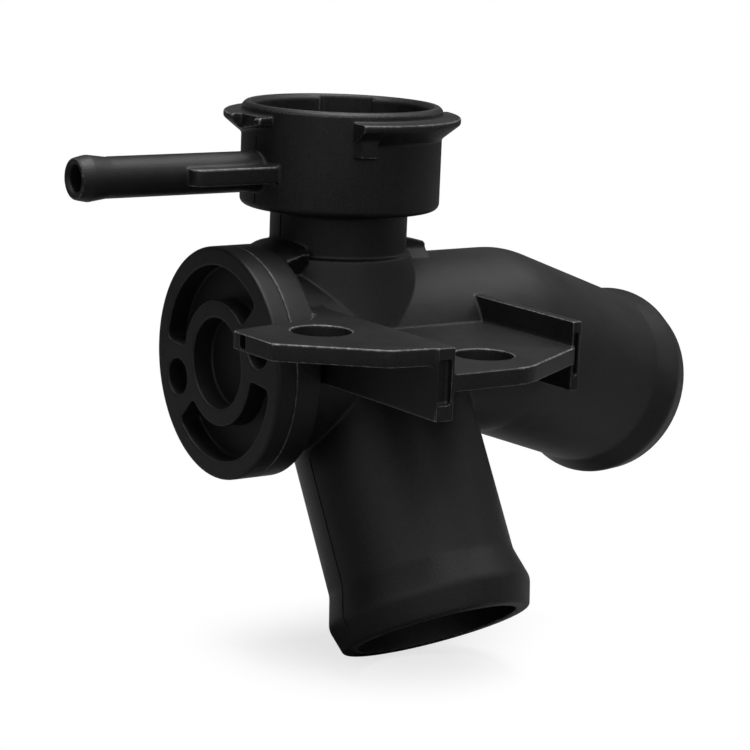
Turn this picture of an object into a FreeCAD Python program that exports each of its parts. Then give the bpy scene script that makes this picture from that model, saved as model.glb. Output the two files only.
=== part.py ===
"""Three-way coolant pipe: one black moulding with a filler neck, a closed welded end and three hose ends.

Frame: +Z up along the filler neck, +X along the main run towards the large outlet, the mounting
bracket on the -Y side. Every form is drawn about the point where the neck's axis crosses the axis
of the main run. The finished pieces are then moved so that the origin is the centre of the
bracket's near bolt hole, on the plate's upper face. Millimetres throughout.
Two pieces: the body, and the end plug that is spin-welded into its flange.
"""
import FreeCAD
import Part
import math
import os
import Sketcher

# Driving sizes. Lengths in millimetres, angles in degrees.
SIZES = {
    # main run, closed at the flange and turned at the elbow
    "run_radius": 17.3,
    "run_wall": 2.6,
    "flange_radius": 20.6,
    "flange_rear": 15.9,
    "flange_thickness": 5.2,
    "flange_edge_round": 0.4,
    "flange_foot_round": 1.2,
    "elbow_offset": 34.2,
    # hose beads, the same on both large ends
    "bead_height": 1.55,
    "bead_flare": 5.7,
    "bead_taper": 4.8,
    "bead_foot_round": 4.0,
    "bead_crest_round": 3.0,
    "mouth_lip": 0.15,
    "mouth_round": 0.5,
    # large outlet beyond the elbow
    "outlet_length": 44.8,
    "outlet_drop": 18.8,
    "outlet_swing": 16.0,
    # lower branch
    "branch_offset": 6.1,
    "branch_radius": 16.95,
    "branch_wall": 2.4,
    "branch_length": 53.0,
    "branch_tilt": 30.4,
    # filler neck
    "throat_radius": 12.3,
    "throat_wall": 2.5,
    "collar_radius": 13.1,
    "collar_height": 18.9,
    "collar_fillet": 1.5,
    "collar_round": 0.5,
    "neck_radius": 17.85,
    "neck_wall": 2.2,
    "neck_underside": 26.9,
    "neck_floor": 2.6,
    "neck_corner_round": 1.1,
    "neck_foot_round": 1.4,
    "rim_height": 45.2,
    "rim_bevel": 0.65,
    "rim_inner_bevel": 0.8,
    "seat_radius": 12.6,
    "seat_height": 1.1,
    "seat_slope": 0.6,
    # cap wings
    "wing_radius": 21.1,
    "wing_drop": 1.7,
    "wing_edge": 1.2,
    "wing_root": 3.85,
    "wing_round": 0.4,
    "wing_start": -114.8,
    "wing_span": 129.0,
    "ramp_from": 88.0,
    "ramp_rise": 2.75,
    "notch_radius": 19.1,
    "notch_from": 105.0,
    "notch_span": 20.0,
    "tab_span": 12.8,
    "tab_lead": 2.5,
    "tab_radius": 19.2,
    "tab_reach": 2.1,
    "relief_depth": 0.4,
    "relief_reach": 6.0,
    "relief_start": 36.0,
    "relief_span": 35.3,
    # overflow nipple
    "nipple_height": 33.7,
    "nipple_radius": 3.5,
    "nipple_bore": 2.3,
    "nipple_tip": 53.5,
    "nipple_bead": 0.5,
    "nipple_bead_run": 6.2,
    "nipple_nose": 2.4,
    "nipple_mouth": 2.85,
    "nipple_mouth_depth": 0.6,
    "fin_reach": 33.3,
    "fin_half_width": 6.2,
    "fin_thickness": 3.0,
    "fin_corner": 1.6,
    # webs at the throat's foot
    "saddle_rise": 0.9,
    "saddle_angle": 45.0,
    "web_reach": 18.1,
    "web_height": 21.2,
    "web_drop": 1.5,
    "web_nose": 0.9,
    "web_thickness": 3.6,
    "web_foot": 3.4,
    "web_foot_rise": 1.4,
    # bracket
    "plate_thickness": 3.0,
    "high_plate_top": 11.4,
    "low_plate_top": 6.9,
    "plate_reach": 52.0,
    "post_near": 11.2,
    "post_near_width": 3.5,
    "post_far": 23.3,
    "post_far_width": 1.85,
    "post_far_reach": 41.5,
    "post_foot": 0.8,
    "tip_reach": 37.3,
    "tip_back": 25.4,
    "tip_back_round": 1.3,
    "tip_front": 37.7,
    "tip_corner_reach": 22.8,
    "tip_corner_depth": 1.8,
    "tip_corner_round": 4.0,
    "back_bend_reach": 28.7,
    "back_bend": 23.4,
    "back_corner_reach": 20.0,
    "back_corner": 22.2,
    "back_corner_round": 1.5,
    "back_foot": 17.6,
    "low_corner": 4.5,
    "low_corner_round": 9.0,
    "slot_inset_back": 2.35,
    "slot_width": 1.9,
    "slot_skin": 0.35,
    "slot_depth": 1.6,
    "groove_skin": 2.0,
    "groove_side": 0.75,
    "groove_side_far": 0.5,
    "groove_depth": 2.2,
    "bolt_hole_radius": 5.1,
    "bolt_near_x": -23.7,
    "bolt_near_y": -31.4,
    "bolt_far_x": 3.4,
    "bolt_far_y": -40.3,
    # end plug
    "plug_ring": 3.65,
    "plug_spigot": 2.1,
    "plug_spigot_radius": 18.4,
    "plug_clearance": 0.1,
    "plug_recess": 4.1,
    "plug_recess_radius": 17.3,
    "hub_radius": 11.1,
    "hub_bore": 8.1,
    "spoke_tilt": 20.0,
    "spoke_spread": 50.5,
    "spoke_hole_radius": 3.3,
    "spoke_hole_offset": 14.2,
    "kidney_corner": 1.2,
}

# How far a cutting tool runs past the face that it opens.
OVERRUN = 2.0

doc = FreeCAD.newDocument("CoolantPipe")
sheet = doc.addObject("Spreadsheet::Sheet", "Sizes")
for row, (word, number) in enumerate(SIZES.items(), start=1):
    sheet.set(f"A{row}", word)
    sheet.set(f"B{row}", str(number))
    sheet.setAlias(f"B{row}", word)
doc.recompute()


def bind(thing, **texts):
    """Bind properties to sheet expressions; a double underscore stands for a dot."""
    for prop, text in texts.items():
        thing.setExpression(prop.replace("__", "."), text)


def origin_plane(body, role):
    return next(item for item in body.Origin.OriginFeatures if item.Role == role)


def new_body(name, placement=None):
    body = doc.addObject("PartDesign::Body", name)
    body.Label = name
    if placement:
        body.setExpression("Placement", placement)
    return body


def new_sketch(body, name, role, lift=None):
    """Empty sketch on one of the body's own origin planes, lifted off it by an expression."""
    sketch = body.newObject("Sketcher::SketchObject", name)
    sketch.AttachmentSupport = [(origin_plane(body, role), "")]
    sketch.MapMode = "FlatFace"
    if lift:
        sketch.setExpression("AttachmentOffset.Base.z", lift)
    return sketch


def outline(body, name, role, corners, lift=None):
    """Closed outline of straight runs. Each corner is (across, up) or (across, up, rounding)."""
    sketch = new_sketch(body, name, role, lift)
    count = len(corners)
    turn = 2.0 * math.pi / count
    ring = [FreeCAD.Vector(50 * math.cos(k * turn), 50 * math.sin(k * turn), 0) for k in range(count)]
    for k in range(count):
        sketch.addGeometry(Part.LineSegment(ring[k], ring[(k + 1) % count]), False)
    for k in range(count):
        sketch.addConstraint(Sketcher.Constraint("Coincident", k, 2, (k + 1) % count, 1))
    for k, corner in enumerate(corners):
        for kind, text in zip(("DistanceX", "DistanceY"), corner):
            index = sketch.addConstraint(Sketcher.Constraint(kind, -1, 1, k, 1, 1.0))
            sketch.setExpression(f"Constraints[{index}]", text)
    doc.recompute()
    for k, corner in enumerate(corners):
        if len(corner) == 3:
            sketch.fillet(k, 1, 0.1, True, True)
            arc = sketch.GeometryCount - 1
            while sketch.Geometry[arc].TypeId != "Part::GeomArcOfCircle":
                arc -= 1
            index = sketch.addConstraint(Sketcher.Constraint("Radius", arc, 0.1))
            sketch.setExpression(f"Constraints[{index}]", corner[2])
    doc.recompute()
    return sketch


def circle(body, name, role, across, up, radius, lift=None):
    sketch = new_sketch(body, name, role, lift)
    sketch.addGeometry(Part.Circle(FreeCAD.Vector(1, 1, 0), FreeCAD.Vector(0, 0, 1), 1), False)
    for constraint, text in ((Sketcher.Constraint("DistanceX", -1, 1, 0, 3, 1.0), across),
                             (Sketcher.Constraint("DistanceY", -1, 1, 0, 3, 1.0), up),
                             (Sketcher.Constraint("Radius", 0, 1.0), radius)):
        index = sketch.addConstraint(constraint)
        sketch.setExpression(f"Constraints[{index}]", text)
    doc.recompute()
    return sketch


def turned(body, name, sketch, axis="H_Axis", angle=None, cut=False, midplane=False):
    """Revolve a profile about one of its sketch's axes, all the way round unless an angle is given."""
    feature = body.newObject("PartDesign::Groove" if cut else "PartDesign::Revolution", name)
    feature.Profile = sketch
    feature.ReferenceAxis = (sketch, [axis])
    feature.Angle = 360.0
    feature.Midplane = midplane
    if angle:
        feature.setExpression("Angle", angle)
    sketch.Visibility = False
    doc.recompute()
    return feature


def padded(body, name, sketch, length, midplane=False, cut=False, reverse=False):
    feature = body.newObject("PartDesign::Pocket" if cut else "PartDesign::Pad", name)
    feature.Profile = sketch
    feature.SideType = "Symmetric" if midplane else "One side"
    feature.Reversed = reverse
    feature.setExpression("Length", length)
    sketch.Visibility = False
    doc.recompute()
    return feature


def round_copies(body, name, features, count=2):
    """Repeat features evenly about the body's own Z axis."""
    pattern = body.newObject("PartDesign::PolarPattern", name)
    pattern.Originals = features
    pattern.Axis = (next(item for item in body.Origin.OriginFeatures if item.Role == "Z_Axis"), [""])
    pattern.Angle = 360.0
    pattern.Occurrences = count
    body.Tip = pattern
    doc.recompute()
    return pattern


def upright_edges(shape, word):
    """Names of the straight upright edges that stand at the named radius from the Z axis."""
    names = []
    for number, edge in enumerate(shape.Edges, start=1):
        start, end = edge.Vertexes[0].Point, edge.Vertexes[-1].Point
        upright = math.hypot(end.x - start.x, end.y - start.y) < 1e-6 and abs(end.z - start.z) > 1e-6
        if upright and abs(math.hypot(start.x, start.y) - getattr(sheet, word)) < 1e-3:
            names.append(f"Edge{number}")
    return names


def collar_edges(shape):
    """Numbers of the edges where the collar's round side meets the main run."""
    found = []
    for number, edge in enumerate(shape.Edges, start=1):
        faces = shape.ancestorsOfType(edge, Part.Face)
        radii = sorted(round(face.Surface.Radius, 4) for face in faces if hasattr(face.Surface, "Radius"))
        if radii == sorted([round(sheet.collar_radius, 4), round(sheet.run_radius, 4)]):
            found.append(number)
    return found


def fused(name, pieces):
    union = doc.addObject("Part::MultiFuse", name)
    union.Shapes = pieces
    union.Refine = True
    doc.recompute()
    return union


# Places that several forms share
FLANGE_FRONT = "(Sizes.flange_rear + Sizes.flange_thickness)"
RUN_BORE = "(Sizes.run_radius - Sizes.run_wall)"
BRANCH_BORE = "(Sizes.branch_radius - Sizes.branch_wall)"
THROAT_BORE = "(Sizes.throat_radius - Sizes.throat_wall)"
NECK_BORE = "(Sizes.neck_radius - Sizes.neck_wall)"
NECK_FLOOR = "(Sizes.neck_underside + Sizes.neck_floor)"
WING_TOP = "(Sizes.rim_height - Sizes.wing_drop)"
WING_FOOT = "(Sizes.rim_height - Sizes.wing_drop - Sizes.wing_root)"
POCKET_RADIUS = "(Sizes.plug_spigot_radius + Sizes.plug_clearance)"
POCKET_DEPTH = "(Sizes.plug_spigot + Sizes.plug_clearance)"

HOME = "vector(-Sizes.bolt_near_x; -Sizes.bolt_near_y; -Sizes.high_plate_top)"
OUTLET_PLACE = ("placement(vector(Sizes.elbow_offset; 0; 0); "
                "rotation(vector(0; 0; 1); Sizes.outlet_swing) * rotation(vector(0; 1; 0); Sizes.outlet_drop))")
BRANCH_PLACE = ("placement(vector(Sizes.branch_offset; 0; 0); "
                "rotation(vector(1; 0; 0); -Sizes.branch_tilt) * rotation(vector(0; 1; 0); 90))")
NIPPLE_PLACE = "placement(vector(0; 0; Sizes.nipple_height); rotation(vector(0; 0; 1); 180))"
PLUG_PLACE = (f"placement({HOME} - vector({FLANGE_FRONT}; 0; 0); "
              "rotation(vector(0; 1; 0); -90) * rotation(vector(0; 0; 1); Sizes.spoke_tilt - 90))")


def run_form():
    """Main run with its end flange, turned about X."""
    body = new_body("run_form")
    profile = outline(body, "run_profile", "XZ_Plane", [
        (f"-{FLANGE_FRONT}", "0"),
        (f"-{FLANGE_FRONT}", "Sizes.flange_radius", "Sizes.flange_edge_round"),
        ("-Sizes.flange_rear", "Sizes.flange_radius", "Sizes.flange_edge_round"),
        ("-Sizes.flange_rear", "Sizes.run_radius", "Sizes.flange_foot_round"),
        ("Sizes.elbow_offset", "Sizes.run_radius"),
        ("Sizes.elbow_offset", "0"),
    ])
    turned(body, "run_turned", profile)
    return body


def ball(name, radius):
    """Ball that rounds the outside of the elbow, and the same for its bore."""
    sphere = doc.addObject("Part::Sphere", name)
    bind(sphere, Radius=radius, Placement__Base__x="Sizes.elbow_offset")
    return sphere


def stub_form(name, radius, length, place):
    """Hose end turned about its own X axis: plain wall, flared bead, tapered lead-in."""
    body = new_body(name, place)
    crest = f"{radius} + Sizes.bead_height"
    profile = outline(body, name + "_profile", "XZ_Plane", [
        ("0", "0"),
        ("0", radius),
        (f"{length} - Sizes.bead_taper - Sizes.bead_flare", radius, "Sizes.bead_foot_round"),
        (f"{length} - Sizes.bead_taper", crest, "Sizes.bead_crest_round"),
        (length, f"{radius} + Sizes.mouth_lip", "Sizes.mouth_round"),
        (length, "0"),
    ])
    turned(body, name + "_turned", profile)
    return body


def bore_form(name, radius, length, place):
    """Plain round passage along a stub's own X axis, run past its mouth."""
    bore = doc.addObject("Part::Cylinder", name)
    bind(bore, Radius=radius, Height=f"{length} + {OVERRUN}",
         Placement=f"{place} * placement(vector(0; 0; 0); rotation(vector(0; 1; 0); 90))")
    return bore


def neck_form():
    """Filler neck turned about Z: flared collar, throat, barrel and bevelled rim."""
    body = new_body("neck_form")
    profile = outline(body, "neck_profile", "XZ_Plane", [
        ("0", "0"),
        ("Sizes.collar_radius", "0"),
        ("Sizes.collar_radius", "Sizes.collar_height", "Sizes.collar_round"),
        ("Sizes.throat_radius", "Sizes.collar_height"),
        ("Sizes.throat_radius", "Sizes.neck_underside", "Sizes.neck_corner_round"),
        ("Sizes.neck_radius", "Sizes.neck_underside", "Sizes.neck_corner_round"),
        ("Sizes.neck_radius", "Sizes.rim_height - Sizes.rim_bevel"),
        ("Sizes.neck_radius - Sizes.rim_bevel", "Sizes.rim_height"),
        ("0", "Sizes.rim_height"),
    ])
    turned(body, "neck_turned", profile, "V_Axis")
    return body


def neck_bore():
    """Inside of the neck: throat, raised cap seat, barrel and inner bevel of the rim."""
    body = new_body("neck_bore")
    seat = f"({NECK_FLOOR} + Sizes.seat_height)"
    profile = outline(body, "neck_bore_profile", "XZ_Plane", [
        ("0", "0"),
        (THROAT_BORE, "0"),
        (THROAT_BORE, seat, "Sizes.seat_slope"),
        ("Sizes.seat_radius", seat),
        ("Sizes.seat_radius + Sizes.seat_slope", NECK_FLOOR),
        (NECK_BORE, NECK_FLOOR, "Sizes.neck_foot_round"),
        (NECK_BORE, "Sizes.rim_height - Sizes.rim_inner_bevel"),
        (f"{NECK_BORE} + Sizes.rim_inner_bevel", "Sizes.rim_height"),
        (f"{NECK_BORE} + Sizes.rim_inner_bevel", f"Sizes.rim_height + {OVERRUN}"),
        ("0", f"Sizes.rim_height + {OVERRUN}"),
    ])
    turned(body, "neck_bore_turned", profile, "V_Axis")
    return body


def swept_segment(name, corners, start, span):
    """Ring segment about Z from a profile in the XZ plane, starting at an angle from +X."""
    body = new_body(name, f"placement(vector(0; 0; 0); rotation(vector(0; 0; 1); {start}))")
    profile = outline(body, name + "_profile", "XZ_Plane", corners)
    segment = turned(body, name + "_turned", profile, "V_Axis", span)
    return body, segment


def wing_forms():
    """Two bayonet wings for the pressure cap: flat top, conical underside, cam ramp and stop tab."""
    root = f"({NECK_BORE} + Sizes.rim_inner_bevel)"
    wings, segment = swept_segment("wing_form", [
        (root, WING_TOP),
        ("Sizes.wing_radius", WING_TOP, "Sizes.wing_round"),
        ("Sizes.wing_radius", f"{WING_TOP} - Sizes.wing_edge", "Sizes.wing_round"),
        ("Sizes.neck_radius", WING_FOOT),
        (root, WING_FOOT),
    ], "Sizes.wing_start", "Sizes.wing_span")
    half = "(Sizes.wing_span - Sizes.ramp_from) / 2"
    reach = f"Sizes.wing_radius * tan({half})"
    ramp = outline(wings, "ramp_profile", "YZ_Plane", [
        (f"-({reach})", WING_FOOT), (reach, f"{WING_FOOT} + Sizes.ramp_rise"),
        (reach, f"{WING_FOOT} - {OVERRUN}"), (f"-({reach})", f"{WING_FOOT} - {OVERRUN}")])
    ramp.setExpression("AttachmentOffset.Rotation", f"rotation(vector(0; 1; 0); Sizes.wing_span - {half})")
    slope = padded(wings, "ramp", ramp, f"Sizes.wing_radius + {OVERRUN}", cut=True, reverse=True)
    notch = outline(wings, "notch_profile", "XZ_Plane", [
        ("Sizes.notch_radius", f"{WING_TOP} + {OVERRUN}"),
        (f"Sizes.wing_radius + {OVERRUN}", f"{WING_TOP} + {OVERRUN}"),
        (f"Sizes.wing_radius + {OVERRUN}", f"{WING_FOOT} - {OVERRUN}"),
        ("Sizes.notch_radius", f"{WING_FOOT} - {OVERRUN}")])
    notch.setExpression("AttachmentOffset.Rotation", "rotation(vector(0; 1; 0); Sizes.notch_from)")
    gap = turned(wings, "notch", notch, "V_Axis", "Sizes.notch_span", cut=True)
    round_copies(wings, "wing_pair", [segment, slope, gap])
    tabs, block = swept_segment("tab_form", [
        (root, WING_TOP),
        ("Sizes.tab_radius", WING_TOP),
        ("Sizes.tab_radius", f"{WING_FOOT} - Sizes.tab_reach"),
        (root, f"{WING_FOOT} - Sizes.tab_reach"),
    ], "(Sizes.wing_start - Sizes.tab_lead)", "Sizes.tab_span")
    round_copies(tabs, "tab_pair", [block])
    return [wings, tabs]


def relief_form():
    """Shallow reliefs inside the rim, facing the two gaps between the wings."""
    deep = f"({NECK_BORE} + Sizes.relief_depth)"
    low = "(Sizes.rim_height - Sizes.relief_reach)"
    body, relief = swept_segment("relief_form", [
        (f"{NECK_BORE} - {OVERRUN}", f"Sizes.rim_height + {OVERRUN}"),
        (deep, f"Sizes.rim_height + {OVERRUN}"),
        (deep, low),
        (f"{NECK_BORE} - {OVERRUN}", low),
    ], "Sizes.relief_start", "Sizes.relief_span")
    round_copies(body, "relief_pair", [relief])
    return body


def nipple_form():
    """Overflow nipple turned about its own X axis, from inside the barrel wall to its beaded nose."""
    body = new_body("nipple_form", NIPPLE_PLACE)
    crest = "Sizes.nipple_radius + Sizes.nipple_bead"
    profile = outline(body, "nipple_profile", "XZ_Plane", [
        (f"{NECK_BORE} + Sizes.neck_wall / 4", "0"),
        (f"{NECK_BORE} + Sizes.neck_wall / 4", "Sizes.nipple_radius"),
        ("Sizes.nipple_tip - Sizes.nipple_bead_run", "Sizes.nipple_radius", "Sizes.nipple_radius"),
        ("Sizes.nipple_tip - Sizes.nipple_nose", crest, "Sizes.nipple_nose / 2"),
        ("Sizes.nipple_tip", "Sizes.nipple_radius", "Sizes.nipple_bead"),
        ("Sizes.nipple_tip", "0"),
    ])
    turned(body, "nipple_turned", profile)
    return body


def nipple_bore():
    """Overflow passage from the barrel to the nipple's flared mouth."""
    body = new_body("nipple_bore", NIPPLE_PLACE)
    profile = outline(body, "nipple_bore_profile", "XZ_Plane", [
        (f"{NECK_BORE} - {OVERRUN}", "0"),
        (f"{NECK_BORE} - {OVERRUN}", "Sizes.nipple_bore"),
        ("Sizes.nipple_tip - Sizes.nipple_mouth_depth", "Sizes.nipple_bore"),
        ("Sizes.nipple_tip", "Sizes.nipple_mouth"),
        (f"Sizes.nipple_tip + {OVERRUN}", "Sizes.nipple_mouth"),
        (f"Sizes.nipple_tip + {OVERRUN}", "0"),
    ])
    turned(body, "nipple_bore_turned", profile)
    return body


def fin_form():
    """Flat fins on both sides of the nipple's root, one level plate with rounded corners."""
    body = new_body("fin_form")
    root = f"-sqrt(({NECK_BORE} + Sizes.neck_wall / 2)^2 - Sizes.fin_half_width^2)"
    plan = outline(body, "fin_plan", "XY_Plane", [
        ("-Sizes.fin_reach", "-Sizes.fin_half_width", "Sizes.fin_corner"),
        (root, "-Sizes.fin_half_width"),
        (root, "Sizes.fin_half_width"),
        ("-Sizes.fin_reach", "Sizes.fin_half_width", "Sizes.fin_corner"),
    ], lift="Sizes.nipple_height - Sizes.fin_thickness / 2")
    padded(body, "fin_plate", plan, "Sizes.fin_thickness")
    return body


def saddle_form():
    """Ramp that ties the throat's foot to the flange, an arc of the flange's own circle."""
    body = new_body("saddle_form")
    root = "-(Sizes.throat_radius - Sizes.throat_wall / 2)"
    profile = outline(body, "saddle_profile", "XZ_Plane", [
        ("-(Sizes.flange_rear + Sizes.flange_thickness / 4)", "Sizes.run_radius - Sizes.run_wall / 2"),
        ("-(Sizes.flange_rear + Sizes.flange_thickness / 4)", "Sizes.flange_radius - Sizes.flange_edge_round"),
        ("-Sizes.flange_rear", "Sizes.flange_radius - Sizes.flange_edge_round"),
        ("-Sizes.throat_radius", "Sizes.flange_radius + Sizes.saddle_rise"),
        (root, "Sizes.flange_radius + Sizes.saddle_rise"),
        (root, "Sizes.run_radius - Sizes.run_wall / 2"),
    ])
    turned(body, "saddle_turned", profile, "H_Axis", "Sizes.saddle_angle", midplane=True)
    return body


def web_form():
    """Short web from the throat down to the top of the run, towards the elbow."""
    body = new_body("web_form")
    root = "(Sizes.throat_radius - Sizes.throat_wall / 2)"
    profile = outline(body, "web_profile", "XZ_Plane", [
        (root, "Sizes.run_radius - Sizes.run_wall / 2"),
        ("Sizes.web_reach", "Sizes.run_radius - Sizes.run_wall / 2"),
        ("Sizes.web_reach", "Sizes.web_height - Sizes.web_drop", "Sizes.web_nose"),
        (root, "Sizes.web_height"),
    ])
    padded(body, "web_plate", profile, "Sizes.web_thickness", midplane=True)
    low = "(Sizes.run_radius - Sizes.run_wall / 2)"
    foot = outline(body, "web_foot_section", "YZ_Plane", [
        ("-Sizes.web_foot", low),
        ("-Sizes.web_foot", "sqrt(Sizes.run_radius^2 - Sizes.web_foot^2)"),
        ("-Sizes.web_thickness / 2", "Sizes.run_radius + Sizes.web_foot_rise"),
        ("Sizes.web_thickness / 2", "Sizes.run_radius + Sizes.web_foot_rise"),
        ("Sizes.web_foot", "sqrt(Sizes.run_radius^2 - Sizes.web_foot^2)"),
        ("Sizes.web_foot", low),
    ], lift=root)
    padded(body, "web_foot", foot, f"Sizes.web_reach - {root}")
    return body


def bracket_form():
    """Mounting bracket: a high and a low plate between two upright posts."""
    body = new_body("bracket_form")
    inner = "-(Sizes.run_radius - Sizes.run_wall) * 0.75"
    high = outline(body, "high_plate_plan", "XY_Plane", [
        ("-Sizes.tip_reach", "-Sizes.tip_back", "Sizes.tip_back_round"),
        ("-Sizes.tip_reach", "-Sizes.tip_front"),
        ("-Sizes.tip_corner_reach", "-(Sizes.plate_reach - Sizes.tip_corner_depth)", "Sizes.tip_corner_round"),
        ("-Sizes.post_near", "-Sizes.plate_reach"),
        ("-Sizes.post_near", inner),
        ("-Sizes.flange_rear", inner),
        ("-Sizes.flange_rear", "-Sizes.back_foot"),
        ("-Sizes.back_corner_reach", "-Sizes.back_corner", "Sizes.back_corner_round"),
        ("-Sizes.back_bend_reach", "-Sizes.back_bend"),
    ], lift="Sizes.high_plate_top - Sizes.plate_thickness")
    padded(body, "high_plate", high, "Sizes.plate_thickness")
    low = outline(body, "low_plate_plan", "XY_Plane", [
        ("-(Sizes.post_near + Sizes.post_near_width / 2)", "-Sizes.plate_reach"),
        ("Sizes.low_corner", "-Sizes.plate_reach", "Sizes.low_corner_round"),
        ("Sizes.post_far - Sizes.post_far_width / 2", "-Sizes.post_far_reach"),
        ("Sizes.post_far - Sizes.post_far_width / 2", inner),
        ("-(Sizes.post_near + Sizes.post_near_width / 2)", inner),
    ], lift="Sizes.low_plate_top - Sizes.plate_thickness")
    padded(body, "low_plate", low, "Sizes.plate_thickness")
    for side, left, right, reach in (
            ("near", "-(Sizes.post_near + Sizes.post_near_width)", "-Sizes.post_near", "Sizes.plate_reach"),
            ("far", "Sizes.post_far - Sizes.post_far_width", "Sizes.post_far", "Sizes.post_far_reach")):
        plan = outline(body, side + "_post_plan", "XY_Plane", [
            (left, f"-{reach}"), (right, f"-{reach}"), (right, inner), (left, inner)],
            lift="-Sizes.post_foot")
        padded(body, side + "_post", plan, "Sizes.post_foot + Sizes.high_plate_top")
    return body


def bracket_cuts():
    """Bolt holes, the slot in the high plate's tip and the grooves in the posts' outer ends."""
    body = new_body("bracket_cuts")
    floor = "Sizes.low_plate_top - Sizes.plate_thickness"
    for side in ("near", "far"):
        hole = circle(body, side + "_hole_plan", "XY_Plane", f"Sizes.bolt_{side}_x", f"Sizes.bolt_{side}_y",
                      "Sizes.bolt_hole_radius", lift=f"{floor} - {OVERRUN}")
        padded(body, side + "_hole", hole,
               f"Sizes.high_plate_top - Sizes.low_plate_top + Sizes.plate_thickness + 2 * {OVERRUN}")
    slot_back = "-(Sizes.tip_back + Sizes.slot_inset_back)"
    slot = outline(body, "slot_plan", "XY_Plane", [
        (f"-(Sizes.tip_reach + {OVERRUN})", slot_back),
        (f"-(Sizes.tip_reach + {OVERRUN})", f"{slot_back} - Sizes.slot_width"),
        ("-(Sizes.tip_reach - Sizes.slot_depth)", f"{slot_back} - Sizes.slot_width"),
        ("-(Sizes.tip_reach - Sizes.slot_depth)", slot_back),
    ], lift="Sizes.high_plate_top - Sizes.plate_thickness + Sizes.slot_skin")
    padded(body, "slot", slot, "Sizes.plate_thickness - 2 * Sizes.slot_skin")
    for side, left, right, reach, edge in (
            ("near", "-(Sizes.post_near + Sizes.post_near_width)", "-Sizes.post_near",
             "Sizes.plate_reach", "Sizes.groove_side"),
            ("far", "(Sizes.post_far - Sizes.post_far_width)", "Sizes.post_far",
             "Sizes.post_far_reach", "Sizes.groove_side_far")):
        groove = outline(body, side + "_groove_plan", "XY_Plane", [
            (f"{left} + {edge}", f"-({reach} + {OVERRUN})"),
            (f"{right} - {edge}", f"-({reach} + {OVERRUN})"),
            (f"{right} - {edge}", f"-({reach} - Sizes.groove_depth)"),
            (f"{left} + {edge}", f"-({reach} - Sizes.groove_depth)")],
            lift="Sizes.groove_skin - Sizes.post_foot")
        padded(body, side + "_groove", groove,
               "Sizes.post_foot + Sizes.high_plate_top - 2 * Sizes.groove_skin")
    return body


def run_bore():
    """Passage of the main run with the pocket that takes the plug's spigot."""
    body = new_body("run_bore")
    profile = outline(body, "run_bore_profile", "XZ_Plane", [
        (f"-({FLANGE_FRONT} + {OVERRUN})", "0"),
        (f"-({FLANGE_FRONT} + {OVERRUN})", POCKET_RADIUS),
        (f"-({FLANGE_FRONT} - {POCKET_DEPTH})", POCKET_RADIUS),
        (f"-({FLANGE_FRONT} - {POCKET_DEPTH})", RUN_BORE),
        ("Sizes.elbow_offset", RUN_BORE),
        ("Sizes.elbow_offset", "0"),
    ])
    turned(body, "run_bore_turned", profile)
    return body


def pipe_body():
    """The whole moulding: every outer form fused, then every passage cut from it."""
    outer = fused("outer_form", [
        run_form(),
        ball("elbow_ball", "Sizes.run_radius"),
        stub_form("outlet_form", "Sizes.run_radius", "Sizes.outlet_length", OUTLET_PLACE),
        stub_form("branch_form", "Sizes.branch_radius", "Sizes.branch_length", BRANCH_PLACE),
        neck_form(), *wing_forms(), nipple_form(), fin_form(), saddle_form(), web_form(), bracket_form(),
    ])
    blend = doc.addObject("Part::Fillet", "outer_blend")
    blend.Base = outer
    blend.Edges = [(number, sheet.collar_fillet, sheet.collar_fillet) for number in collar_edges(outer.Shape)]
    doc.recompute()
    inner = fused("inner_form", [
        run_bore(),
        ball("elbow_bore", RUN_BORE),
        bore_form("outlet_bore", RUN_BORE, "Sizes.outlet_length", OUTLET_PLACE),
        bore_form("branch_bore", BRANCH_BORE, "Sizes.branch_length", BRANCH_PLACE),
        neck_bore(), relief_form(), nipple_bore(), bracket_cuts(),
    ])
    whole = doc.addObject("Part::Cut", "pipe_body")
    whole.Base = blend
    whole.Tool = inner
    whole.Label = "pipe_body"
    bind(whole, Placement__Base=HOME)
    doc.recompute()
    return whole


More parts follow.
